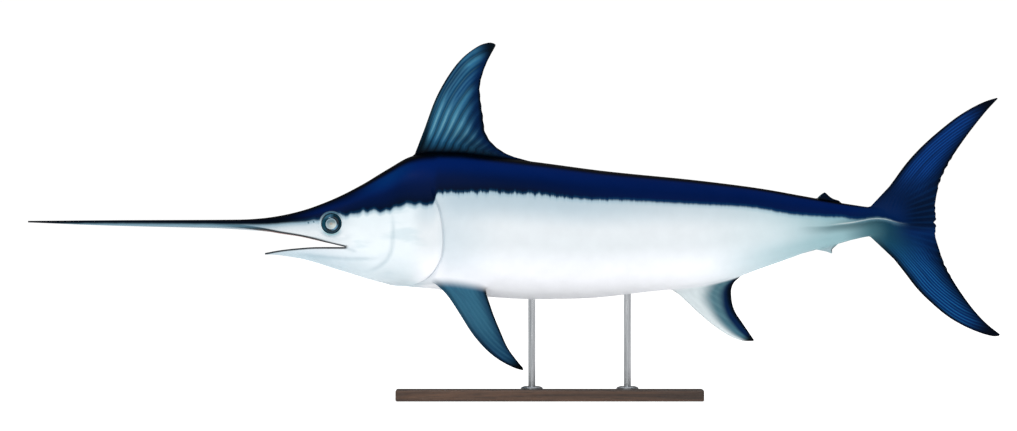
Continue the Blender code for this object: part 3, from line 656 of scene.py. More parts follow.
def head_sheets(skin, grid):
    """The two jaws, drawn forwards out of the ring at the corner of the mouth, which the throat divides."""
    bm = skin.bm
    ring = [v for v in grid if skin.get(v, "station") == MOUTH_CORNER_X]
    ring.sort(key=lambda v: skin.get(v, "column"))
    corner = ring[UPPER_COLUMNS]
    throat = [corner]
    for i in range(1, MOUTH_COLUMNS + 1):
        vert = bm.verts.new(mouth_point(MOUTH_CORNER_X, i / MOUTH_COLUMNS, True))
        skin.set(vert, station=MOUTH_CORNER_X, column=UPPER_COLUMNS, inward=i / MOUTH_COLUMNS, mouth=1)
        throat.append(vert)
    chain = [bm.edges.new(pair) for pair in zip(throat, throat[1:])]
    outer = edges_within(bm.edges, set(ring))
    jaws = (True, BILL_TIP_X, UPPER_JAW_SPACING), (False, LOWER_JAW_TIP_X, LOWER_JAW_SPACING)
    for upper, tip, spacing in jaws:
        places = stations(tip, spacing)[-2::-1]

        def place(vert, row):
            station, column, inward = places[row - 1], skin.get(vert, "column"), skin.get(vert, "inward")
            skin.set(vert, station=station)
            if inward > 0:
                point = mouth_point(station, inward, upper)
                on_middle = inward == 1
            else:
                angle = column_angle(station, column)
                point = skin_point(station, angle if upper else min(angle, -1e-9))
                on_middle = column in (0, UPPER_COLUMNS + LOWER_COLUMNS)
            if on_middle:
                point.y = 0.0
            vert.co = point

        def belongs(edge):
            low, high = sorted(skin.get(v, "column") for v in edge.verts)
            return high <= UPPER_COLUMNS if upper else low >= UPPER_COLUMNS

        skin.draw_out(chain + [e for e in outer if belongs(e)], len(places), place)


def open_hole(skin, stations_between, columns_between):
    """Takes out a rectangle of the grid, and gives its edges and its ring of points."""
    (first, last), (top, bottom) = stations_between, columns_between

    def inside(face):
        station = sum(skin.get(v, "station") for v in face.verts) / len(face.verts)
        column = sum(skin.get(v, "column") for v in face.verts) / len(face.verts)
        flat = all(skin.get(v, "inward") == 0 and skin.get(v, "span") == 0 for v in face.verts)
        return flat and first < station < last and top < column < bottom

    faces = [f for f in skin.bm.faces if inside(f)]
    taken = set(faces)
    rim = [e for f in faces for e in f.edges if sum(other in taken for other in e.link_faces) == 1]
    ring = {v for e in rim for v in e.verts}
    bmesh.ops.delete(skin.bm, geom=faces, context="FACES")
    return rim, ring


def head_surface(x, z):
    """A place on the side of the head, without its folds."""
    width, level, rise, fullness = shape_at(x, 1)
    share = min(max((z - level) / rise, 0.0), 1.0)
    return Vector((x, -width * (1 - share**fullness) ** (1 / fullness), z))


def head_facing(x, z):
    """The way that the side of the head faces at a place."""
    step = 2.0
    along = head_surface(x + step, z) - head_surface(x - step, z)
    up = head_surface(x, z + step) - head_surface(x, z - step)
    return along.cross(up).normalized()


def socket(skin, x, z, hole, rings, blend_rows, **marks):
    """A socket in the side of the head: rings from a hole in the grid to a raised rim, and on inwards."""
    half_length, low_angle, high_angle = hole
    columns = sorted(c for c in range(UPPER_COLUMNS + 1) if low_angle <= column_angle(x, c) <= high_angle)
    rim, ring = open_hole(skin, (x - half_length, x + half_length), (columns[0], columns[-1]))
    facing = head_facing(x, z)
    for vert in ring:
        away_x, away_z = vert.co.x - x, vert.co.z - z
        skin.set(vert, turn=math.atan2(away_z, away_x), radius=math.hypot(away_x, away_z))

    def place(vert, row):
        turn, own = skin.get(vert, "turn"), skin.get(vert, "radius")
        if row > blend_rows:
            radius, height = rings[row - blend_rows]
        else:
            radius = lerp(own, rings[0][0], row / blend_rows)
        point = head_surface(x + radius * math.cos(turn), z + radius * math.sin(turn))
        if row <= blend_rows:
            height = relief(point.x, EYE_ANGLE, point.z) * (1 - row / blend_rows)
        vert.co = point + facing * height
        skin.set(vert, column=OFF_GRID, **{name: how(radius) for name, how in marks.items()})

    skin.draw_out(rim, len(rings) + blend_rows - 1, place)


def upright_fin(skin, fin, mask, columns_end):
    """A fin on the middle line, drawn out of the grid's own edge between its two ends."""
    front_x, rear_x = fin.front_x, fin.rear_x

    def on_root(vert):
        station = skin.get(vert, "station")
        return (
            skin.get(vert, "column") == columns_end and skin.get(vert, "inward") == 0
            and skin.get(vert, "span") == 0 and root[0] <= station <= root[-1]
        )

    places = sorted({skin.get(v, "station") for v in skin.bm.verts if skin.get(v, "column") == columns_end})
    root = [p for p in places if front_x < p < rear_x]
    before = max(p for p in places if p <= front_x)
    after = min(p for p in places if p >= rear_x)
    root = [before, *root, after]
    verts = {v for v in skin.bm.verts if on_root(v)}
    edges = edges_within(skin.bm.edges, verts)
    for vert in verts:
        skin.set(vert, chord=(skin.get(vert, "station") - root[0]) / (root[-1] - root[0]))
    sign = 1 if columns_end == 0 else -1

    def blade(root_chord, span):
        chord = lerp(root_chord, root_chord**FRONT_CROWDING, smooth(*FRONT_CROWDING_STARTS, span))
        x, z = fin.point(chord, span)
        return chord, Vector((x, -fin.half_thickness(chord, span), z))

    def place(vert, row):
        root_chord, station = skin.get(vert, "chord"), skin.get(vert, "station")
        on_edge = root_chord <= 0 or root_chord >= 1
        t = min(row / FILLET_ROWS, 1.0)
        past = max(row - FILLET_ROWS, 0) / (fin.rows - FILLET_ROWS)
        span = lerp(fin.fillet_span * t, 1.0, past**ROOT_CROWDING)
        chord, point = blade(root_chord, span)
        if t < 1 and not on_edge:
            reach = root_reach(fin, station)
            angle = angle_for_width(station, reach, sign)
            y, z = plain_point(station, angle)
            inner_y, inner_z = plain_point(station, lerp(angle, 90 * sign, 0.25))
            end = blade(root_chord, fin.fillet_span)[1]
            end.y = max(end.y, y)
            rise = (inner_z - z) / max(inner_y - y, 1e-3) * (end.y - y)
            rise = sign * min(sign * rise, 0.7 * sign * (end.z - z))
            point = bow(Vector((station, y, z)), Vector((station, end.y, z + rise)), end, t)
        if on_edge:
            point.y = 0.0
        vert.co = point
        skin.set(vert, span=span, chord=root_chord, ray=fin.ray(chord, span), **{mask: t})

    skin.draw_out(edges, fin.rows, place)


def pectoral_root(x):
    """The angle round the section at which the plane of the pectoral fin meets the body."""
    low, high = -90.0, 0.0
    for _ in range(24):
        middle = (low + high) / 2
        y, z = plain_point(x, middle)
        if -y > PECTORAL_ROOT_Y + (PECTORAL_ROOT_Z - z) * PECTORAL_SPREAD:
            high = middle
        else:
            low = middle
    return middle


def on_pectoral_plane(x, z, across):
    lean = math.hypot(1, PECTORAL_SPREAD)
    out = PECTORAL_ROOT_Y + (PECTORAL_ROOT_Z - z) * PECTORAL_SPREAD
    return Vector((x, -(out + across / lean), z + across * PECTORAL_SPREAD / lean))


def pectoral_fin(skin):
    """The fin on the side, drawn out of a hole in the grid round its root."""
    root_line = curve([(x, plain_point(x, pectoral_root(x))[1]) for x in PECTORAL_LINE], 4)
    fin = Fin(root_line, **PECTORAL)
    start_x, end_x, half_height = PECTORAL_HOLE
    middle_angle = pectoral_root((start_x + end_x) / 2)
    all_columns = range(UPPER_COLUMNS, UPPER_COLUMNS + LOWER_COLUMNS + 1)
    columns = [c for c in all_columns if abs(column_angle(PECTORAL_STATION, c) - middle_angle) < half_height]
    first = station_at(start_x, middle_angle)
    last = station_at(end_x, middle_angle)
    rim, ring = open_hole(skin, (first, last), (columns[0], columns[-1]))
    rows = sorted({skin.get(v, "station") for v in ring})
    corner = math.pi * (columns[-1] - columns[0]) / (2 * (rows[-1] - rows[0]) / PECTORAL_FACE_LENGTH)
    half_columns = (columns[-1] - columns[0]) / 2
    middle_column = (columns[-1] + columns[0]) / 2
    for vert in ring:
        row, column = rows.index(skin.get(vert, "station")), skin.get(vert, "column")
        up = (middle_column - column) / half_columns
        along = row / (len(rows) - 1)
        if abs(up) > 0.999:
            turn = math.copysign(corner + (math.pi - 2 * corner) * along, up)
        elif along < 0.5:
            turn = corner * up
        else:
            turn = math.pi - corner * up
        skin.set(vert, turn=turn)
    length = fin.rear_x - fin.front_x
    middle_x = (fin.rear_x + fin.front_x) / 2
    first_share = fin.fillet_span

    def chord_at(turn):
        return (1 - math.cos(turn)) / 2

    def half_at(turn, span):
        return fin.half_thickness(chord_at(turn), span) * min(1.0, PECTORAL_EDGE * abs(math.sin(turn)))

    def root_outline(turn):
        x = middle_x - (length / 2 + fin.flare) * math.cos(turn)
        spread = PECTORAL_SIDE_FLARE[0 if turn > 0 else 1] * abs(math.sin(turn)) ** PECTORAL_FLARE_POWER
        across = math.copysign(half_at(turn, 0) + spread, math.sin(turn))
        angle = pectoral_root(x)
        (y0, z0), (y1, z1) = plain_point(x, angle), plain_point(x, min(angle + 1, -1))
        per_mm = 1 / math.hypot(y1 - y0, z1 - z0)
        angle += across * per_mm
        station = station_at(x, angle)
        return skin_point(station, max(angle, -89.0))

    def blade(turn, span):
        x, z = fin.point(chord_at(turn), span)
        return on_pectoral_plane(x, z, math.copysign(half_at(turn, span), math.sin(turn)))

    def place(vert, row):
        turn = skin.get(vert, "turn")
        if row <= 2:
            vert.co = lerp(vert.co, root_outline(turn), 0.5 if row == 1 else 1.0)
            skin.set(vert, fin_pectoral=0.0)
            return
        chord = chord_at(turn)
        if row <= 2 + FILLET_ROWS:
            t = (row - 2) / FILLET_ROWS
            vert.co = bow(root_outline(turn), blade(turn, 0.0), blade(turn, first_share), t)
            skin.set(vert, span=first_share * t, chord=chord, ray=fin.ray(chord, 0), fin_pectoral=t)
            return
        share = (row - 2 - FILLET_ROWS) / fin.rows
        span = lerp(first_share, 1.0, share**PECTORAL_ROOT_CROWDING)
        vert.co = blade(turn, span)
        skin.set(vert, span=span, chord=chord, ray=fin.ray(chord, span), fin_pectoral=1.0)

    skin.draw_out(rim, 2 + FILLET_ROWS + fin.rows, place)


def smooth_mesh(bm, name):
    """The finished mesh, with its faces turned outwards and shaded smooth."""
    bmesh.ops.recalc_face_normals(bm, faces=bm.faces)
    mesh = bpy.data.meshes.new(name)
    bm.to_mesh(mesh)
    bm.free()
    mesh.shade_smooth()
    return mesh


def new_object(name, data):
    made = bpy.data.objects.new(name, data)
    bpy.context.scene.collection.objects.link(made)
    return made


def finish_mesh(skin, name):
    """Stores what the material reads, mirrors the half and closes its tips."""
    bm = skin.bm
    for vert in bm.verts:
        x, z = vert.co.x, vert.co.z
        line = mark(x)
        reach = back(x) - line if z > line else line - lowest(max(x, LOWER_JAW_TIP_X))
        skin.set(vert, edge=(z - line) * MM, rise=(z - line) / max(reach, 1.0))
        skin.set(vert, keel=z - keel_height(x) - KEEL_CREST)
        station, column = skin.get(vert, "station"), skin.get(vert, "column")
        # a dark line of painted shade along the edges of the jaws, where they meet
        if x < LIP_DARK_END[0] and column != OFF_GRID:
            to_lip = min(abs(z - upper_edge(x)), abs(z - lower_edge(x)) if x > LOWER_JAW_TIP_X else math.inf)
            fade = smooth(*LIP_DARK_START, x) * smooth(*LIP_DARK_END, x)
            skin.set(vert, lip=smooth(*LIP_DARK, to_lip) * fade)
        # painted shade in the gill opening and the folds of the head, and further on under the eye
        if RELIEF_FROM < x < RELIEF_TO and skin.get(vert, "inward") == 0 and column != OFF_GRID:
            skin.set(vert, crease=crease_shade(station, column_angle(station, column), x, z))
        from_eye = math.dist((x, z), (EYE_X, EYE_Z))
        if from_eye < EYE_REGION:
            shade = LID_SHADE * bell((from_eye - LID_RADIUS) / LID_REACH) * smooth(*LID_BELOW, EYE_Z - z)
            skin.set(vert, crease=max(skin.get(vert, "crease"), shade))
        vert.co *= MM
    for helper in skin.HELPERS:
        bm.verts.layers.float.remove(bm.verts.layers.float[helper])
    bmesh.ops.mirror(bm, geom=bm.verts[:] + bm.edges[:] + bm.faces[:], axis="Y", merge_dist=MIRROR_MERGE)
    bmesh.ops.remove_doubles(bm, verts=bm.verts, dist=SEAM_MERGE)
    bmesh.ops.holes_fill(bm, edges=[e for e in bm.edges if e.is_boundary], sides=0)
    return smooth_mesh(bm, name)


def make_skin():
    skin = Skin()
    places = stations(MOUTH_CORNER_X, BODY_SPACING)
    grid = body_sheet(skin, places)
    head_sheets(skin, grid)
    orbit_paint, nostril_shade = partial(smooth, *ORBIT_PAINT), partial(smooth, *NOSTRIL_SHADE)
    socket(skin, EYE_X, EYE_Z, EYE_HOLE, ORBIT, ORBIT_BLEND_ROWS, orbit=orbit_paint)
    for x, z in NOSTRILS:
        # each nostril gets painted shade inside it
        socket(skin, x, z, NOSTRIL_HOLE, NOSTRIL, NOSTRIL_BLEND_ROWS, crease=nostril_shade)
    for fins, columns_end in (upper_fins, 0), (lower_fins, UPPER_COLUMNS + LOWER_COLUMNS):
        for fin, mask in fins:
            upright_fin(skin, fin, mask, columns_end)
    pectoral_fin(skin)
    return new_object("skin", finish_mesh(skin, "skin"))


def linear(hex_colour):
    """An sRGB hex colour as linear red, green, blue and alpha."""
    parts = [int(hex_colour[i : i + 2], 16) / 255 for i in (1, 3, 5)]
    return tuple(p / 12.92 if p <= 0.04045 else ((p + 0.055) / 1.055) ** 2.4 for p in parts) + (1.0,)


def add(tree, kind, inputs=None, **settings):
    """Adds a node. inputs maps a socket's name or number to a value, or to the output to link to it."""
    made = tree.nodes.new(kind)
    for name, value in settings.items():
        setattr(made, name, value)
    for key, value in (inputs or {}).items():
        if isinstance(value, bpy.types.NodeSocket):
            tree.links.new(value, made.inputs[key])
        else:
            made.inputs[key].default_value = value
    return made


def new_material(name, plain):
    """A material, its node tree and its shader, with the values that are the same all over the surface."""
    made = bpy.data.materials.new(name)
    made.use_nodes = True
    shader = made.node_tree.nodes["Principled BSDF"]
    for key, value in plain.items():
        shader.inputs[key].default_value = value
    return made, made.node_tree, shader


def eyeball(name, side):
    """An eyeball spun from its section, turned to face out of the head on one side: -1 is the left."""
    bm = bmesh.new()
    ring, up, ahead = (bm.verts.layers.float.new(key) for key in ("ring", "up", "ahead"))
    section = [bm.verts.new((radius, 0, height)) for radius, height in EYEBALL]
    edges = [bm.edges.new(pair) for pair in zip(section, section[1:])]
    bmesh.ops.spin(
        bm, geom=section + edges, cent=(0, 0, 0), axis=(0, 0, 1), dvec=(0, 0, 0), angle=2 * math.pi,
        steps=EYEBALL_STEPS, use_merge=True, use_duplicate=False,
    )
    bmesh.ops.remove_doubles(bm, verts=bm.verts, dist=1e-4)
    facing, middle = head_facing(EYE_X, EYE_Z), head_surface(EYE_X, EYE_Z)
    turn = facing.to_track_quat("Z", "Y").to_matrix()
    for vert in bm.verts:
        radius = math.hypot(vert.co.x, vert.co.y)
        drop = IRIS_DROP * smooth(EYE_RADIUS, EYE_RADIUS / 2, radius)
        vert[ring] = math.hypot(vert.co.x, vert.co.y + drop) if vert.co.z > EYEBALL[-1][1] / 2 else EYE_RADIUS
        vert.co = middle + turn @ vert.co
        vert[up], vert[ahead] = vert.co.z - middle.z, middle.x - vert.co.x
        vert.co.y *= -side
        vert.co *= MM
    return new_object(name, smooth_mesh(bm, name))


def read_masks(tree, sources, rows):
    """Soft masks, each 0 at the first value of its source and 1 at the second."""
    masks = {}
    for name, source, low, high in rows:
        ends = {0: sources[source], 1: low, 2: high}
        masks[name] = add(tree, "ShaderNodeMapRange", ends, interpolation_type="SMOOTHSTEP").outputs[0]
    return masks


def lay_colours(tree, colour, masks, layers):
    """Lays colours over one another. Each has masks or numbers, which are multiplied."""
    for shade, *parts in layers:
        share = masks.get(parts[0], parts[0])
        for part in parts[1:]:
            factors = {0: share, 1: masks.get(part, part)}
            share = add(tree, "ShaderNodeMath", factors, operation="MULTIPLY").outputs[0]
        over = shade if isinstance(shade, bpy.types.NodeSocket) else linear(shade)
        colour = add(tree, "ShaderNodeMix", {0: share, 6: colour, 7: over}, data_type="RGBA").outputs[2]
    return colour


def grain(tree, place, stretch, detail, turn=(0, 0, 0), distortion=0.0):
    """Noise that is finer along an axis the higher its number in stretch is."""
    moved = {"Vector": place, "Rotation": turn, "Scale": stretch}
    place = add(tree, "ShaderNodeMapping", moved).outputs[0]
    noise = {"Vector": place, "Scale": 1.0, "Detail": detail, "Distortion": distortion}
    return add(tree, "ShaderNodeTexNoise", noise).outputs["Fac"]


def shade_by(tree, colour, pattern, darkest, lightest):
    """The colour, darkened and lightened a little by a pattern."""
    value = add(tree, "ShaderNodeMapRange", {0: pattern, 1: 0.3, 2: 0.7, 3: darkest, 4: lightest})
    lit = {"Value": value.outputs[0], "Color": colour}
    return add(tree, "ShaderNodeHueSaturation", lit).outputs[0]


def coat(tree, shader, colour, pattern, rough, height, bump):
    """Links the shader's colour, a roughness that follows a pattern, and a fine relief."""
    strength, depth = bump
    rough = add(tree, "ShaderNodeMapRange", {0: pattern, **dict(enumerate(rough, 1))})
    relief_node = add(tree, "ShaderNodeBump", {"Height": height, "Strength": strength, "Distance": depth})
    tree.links.new(colour, shader.inputs["Base Color"])
    tree.links.new(rough.outputs[0], shader.inputs["Roughness"])
    tree.links.new(relief_node.outputs[0], shader.inputs["Normal"])


TAIL_BLUE = "#021f4d"
# Soft masks of the skin: a name, what is read, and where the mask is 0 and where it is 1. x, z and edge are
# in metres, edge is the height above the lower edge of the dark back, rise goes from -1 on the belly by 0 at
# that edge to 1 on the back, and keel is the height above the painted highlight on the keel, in mm.
SKIN_MASKS = [
    ("dark", "ragged_edge", -0.0048, 0.0048), ("dusk", "ragged_edge", -0.016, 0.001),
    # the dark back
    ("low_back", "rise", 0.34, 0.0), ("mid_back", "rise", 0.28, 0.78), ("below_top", "rise", 0.96, 0.84),
    ("top_back", "rise", 0.80, 0.95), ("rearwards", "x", -0.05, 0.45), ("on_head", "x", -0.28, -0.38),
    ("behind_eye", "x", -0.53, -0.38), ("snout", "x", -0.58, -0.72), ("high_head", "rise", 0.40, 0.80),
    ("tail_end", "x", 1.0, 1.15), ("top_face", "rise", 0.42, 0.88), ("before_nape", "x", -0.40, -0.52),
    # the pale flank
    ("under_back", "rise", -0.34, -0.03), ("belly", "rise", -0.45, -0.8), ("lowest", "rise", -0.86, -1.0),
    ("shoulder_from", "x", -0.245, -0.2), ("shoulder_to", "x", -0.02, -0.2), ("fore_from", "x", -0.26, -0.16),
    ("fore_to", "x", 0.6, 0.1), ("above_pectoral", "z", 0.36, 0.44), ("rear", "x", 0.5, 0.98),
    ("stalk", "x", 0.78, 1.02), ("late_stalk", "x", 1.0, 1.11), ("tail_teal", "x", 1.09, 1.165),
    # the keel's masks: a band of painted shade under it, and a painted highlight along its crest
    ("into_tail", "x", 1.14, 1.235), ("keel_low", "keel", 1.0, -6.0), ("keel_end", "keel", -32.0, -7.0),
    ("keel_from", "x", 0.86, 1.02), ("crest_low", "keel", -2.5, 0.0), ("crest_high", "keel", 3.2, 0.8),
    ("crest_from", "x", 0.96, 1.05), ("crest_to", "x", 1.225, 1.165), ("cheek_from", "x", -0.57, -0.47),
    ("cheek_to", "x", -0.27, -0.33), ("bill", "x", -0.66, -0.95), ("jaw", "x", -0.42, -0.6),
    ("low_head", "rise", -0.45, -0.95), ("gill_low", "x", -0.25, -0.36), ("rear_low", "x", 0.56, 0.86),
    ("on_face", "x", -0.25, -0.31), ("face_to", "x", -0.74, -0.62), ("streak", "streaks", 0.52, 0.72),
    ("fork_from", "x", 1.17, 1.25), ("fork_low", "z", 0.515, 0.545), ("fork_high", "z", 0.66, 0.6),
    # creases with their painted shade, the orbit with its painted highlight and shadow, and the mouth
    ("crease", "crease", 0.0, 1.0), ("orbit", "orbit", 0.0, 1.0), ("over_eye", "z", 0.556, 0.582),
    ("under_eye", "z", 0.534, 0.514), ("mouth", "mouth", 0.3, 0.7), ("mouth_from", "x", -0.8, -0.7),
    ("lip", "lip", 0.0, 1.0), ("throat", "x", -0.62, -0.5),
    # fins: chord goes from 0 at the front edge to 1 at the rear, and span from 0 at the root to 1 at the tip
    ("dorsal", "fin_dorsal", 0.1, 1.0), ("anal", "fin_anal", 0.0, 0.62), ("tail", "fin_tail", 0.0, 1.0),
    ("pectoral", "fin_pectoral", 0.0, 0.8), ("small", "fin_small", 0.0, 1.0), ("ray", "ray_wave", -0.6, 1.0),
    ("hair", "hair_wave", -1.0, 1.0), ("behind_front", "chord", 0.03, 0.12),
    ("front_half", "chord", 1.0, 0.45), ("rear_edge", "chord", 0.66, 0.93), ("rearmost", "chord", 0.9, 0.985),
    ("front_edge", "chord", 0.16, 0.05), ("front_rim", "chord", 0.26, 0.06), ("tail_tip", "span", 0.72, 0.93),
    ("pectoral_tip", "span", 0.78, 0.95), ("above", "z", 0.54, 0.56), ("from_root", "span", 0.05, 0.26),
    ("root", "span", 0.13, 0.02), ("to_tip", "span", 0.96, 0.74), ("tip", "span", 0.83, 0.955),
    ("root_rear", "chord", 0.25, 0.7), ("low_fin", "span", 0.34, 0.12), ("gap", "gap_wave", 0.5, 0.95),
    ("glint", "glint_wave", 0.6, 1.0), ("streak_from", "ray", 1.2, 1.7), ("streak_to", "ray", 3.0, 2.3),
    ("dark_streak", "fin_streaks", 0.53, 0.64), ("mid_low", "span", 0.52, 0.28),
    ("light_streak", "fin_streaks", 0.5, 0.38), ("high_fin", "span", 0.34, 0.56),
    ("fringe", "ragged_edge", 0.013, 0.002), ("outer", "span", 0.3, 0.85),
    ("mid_chord", "swept_chord", 0.36, 0.74), ("far_chord", "swept_chord", 0.78, 0.98),
    ("far_edge", "chord", 0.84, 0.97), ("tail_ray_from", "span", 0.08, 0.3),
    ("tail_ray_to", "span", 0.97, 0.6), ("lower_lobe", "z", 0.549, 0.526), ("lobe_root", "x", 1.29, 1.14),
    ("fan", "fan_wave", -0.2, 1.0), ("fan_from", "x", 1.19, 1.25), ("fan_to", "span", 0.34, 0.1),
    ("front_wide", "chord", 0.4, 0.06),
]
BACK_LAYERS = [
    ("#010c1e", "low_back", 0.85), ("#001f60", "mid_back", "below_top", 0.85),
    ("#00184e", "rearwards", "below_top", 0.6),
    ("#002c66", "on_head", "behind_eye", "high_head", "below_top", 0.85),
    ("#000a20", "top_face", "before_nape", 0.9), ("#000206", "top_back", 0.97), ("#0a4a70", "fringe", 0.4),
    ("#020507", "snout", 0.9), (TAIL_BLUE, "tail_end"),
]
FLANK_LAYERS = [
    ("#a6bdc9", "under_back", 0.5), ("#a0b8c5", "under_back", "fore_from", "fore_to", 0.5),
    ("#f5f7fc", "belly"), ("#f3f6fa", "lowest", 0.6),
    ("#b8c9d3", "shoulder_from", "shoulder_to", "above_pectoral", 0.45),
    ("#e6eff3", "cheek_from", "cheek_to", 0.7), ("#a3bac6", "jaw", "low_head", 0.75),
    ("#bccdd5", "gill_low", "low_head", 0.6), ("#a9c3cd", "streak", "on_face", "face_to", 0.32),
    ("#b3cbd1", "rear", 0.8), ("#a3bfc6", "rear_low", "belly", 0.8), ("#84a9b0", "stalk", 0.85),
    # after the stalk's own colour, painted shade along the underside of the keel
    ("#315d69", "late_stalk", 0.9), ("#1b3f49", "keel_low", "keel_end", "keel_from", 0.62),
    # after the tail's teal, a painted highlight along the crest of the keel
    ("#0c384c", "tail_teal", 0.92), ("#dfeaea", "crest_low", "crest_high", "crest_from", "crest_to", 0.75),
    # and a dark line of painted shade along the lips, where the jaws meet
    # painted shade in the creases and nostrils
    # the bill's grey is partly its own colour and partly painted shade on its lower side
    ("#72828b", "bill", 0.88), ("#7f9dab", "crease", 0.5), ("#071218", "lip", 0.95),
    ("#76a1b6", "dusk", 0.45), ("#3f7c94", "dusk", "on_face", 0.3), (TAIL_BLUE, "into_tail"),
]
DORSAL_LAYERS = [
    ("#1b5678", "front_half", "to_tip", 0.65), ("#4686a0", "ray", "front_half", "from_root", "to_tip", 0.42),
    # painted highlights along each ray
    ("#7db4bd", "glint", "front_half", "from_root", "mid_low", 0.8), ("#2a6796", "glint", "to_tip", 0.4),
    ("#03234a", "dark_streak", "high_fin", "to_tip", 0.7),
    ("#04305f", "streak_from", "streak_to", "high_fin", 0.7),
    ("#4f93ad", "light_streak", "front_half", "to_tip", 0.2), ("#031e38", "gap", 0.8),
    ("#5a9cba", "hair", "front_half", "from_root", "to_tip", 0.2), ("#03182f", "root_rear", "low_fin", 0.75),
    ("#04141f", "root", 0.85), ("#00163c", "rear_edge", 0.85), ("#01060d", "rearmost", 0.95),
    ("#010a14", "front_edge", 0.92), ("#03090d", "tip", 0.95),
]
TAIL_LAYERS = [
    ("#12455b", "lower_lobe", "lobe_root", 0.85), ("#053c90", "tail_ray_from", "tail_ray_to", 0.2),
    ("#0d438f", "ray", "behind_front", "tail_ray_from", "tail_ray_to", 0.35),
    ("#1b6a83", "ray", "lower_lobe", "behind_front", "tail_ray_from", "tail_ray_to", 0.4),
    # a painted highlight along each ray
    ("#1a5fae", "glint", "behind_front", "tail_ray_from", "tail_ray_to", 0.25),
    ("#021536", "dark_streak", "tail_ray_from", 0.5), ("#021638", "gap", "tail_ray_from", 0.3),
    ("#021232", "front_wide", "from_root", 0.55), ("#011230", "rear_edge", 0.85),
    ("#01050b", "rearmost", 0.95), ("#01060f", "front_rim", "from_root", 0.9),
    ("#01060f", "front_edge", 0.75), ("#010f26", "low_fin", "above", 0.55), ("#01040a", "tail_tip", 0.95),
]
ANAL_LAYERS = [
    ("#3c6875", "mid_chord", 0.95), ("#7ba3ad", "ray", "mid_chord", "front_half", 0.2),
    ("#2a5a70", "mid_chord", "outer", 0.6), ("#051f43", "far_chord"), ("#01060d", "far_edge", 0.95),
    ("#03070c", "tip"),
]
PECTORAL_LAYERS = [
    ("#123a58", "outer", 0.95), ("#44788f", "ray", "behind_front", "to_tip", 0.15),
    ("#2c5470", "dark_streak", 0.4), ("#07264c", "front_wide", "outer", 0.85), ("#062040", "rear_edge", 0.65),
    ("#02080f", "front_rim", "outer", 0.95), ("#0a2638", "front_edge", 0.6), ("#01060b", "rearmost", 0.92),
    ("#010305", "pectoral_tip"),
]
SMALL_FIN_LAYERS = [
    ("#010d22", "above"), ("#456e7a", "front_edge", 0.5), ("#01060f", "rear_edge", 0.85),
]


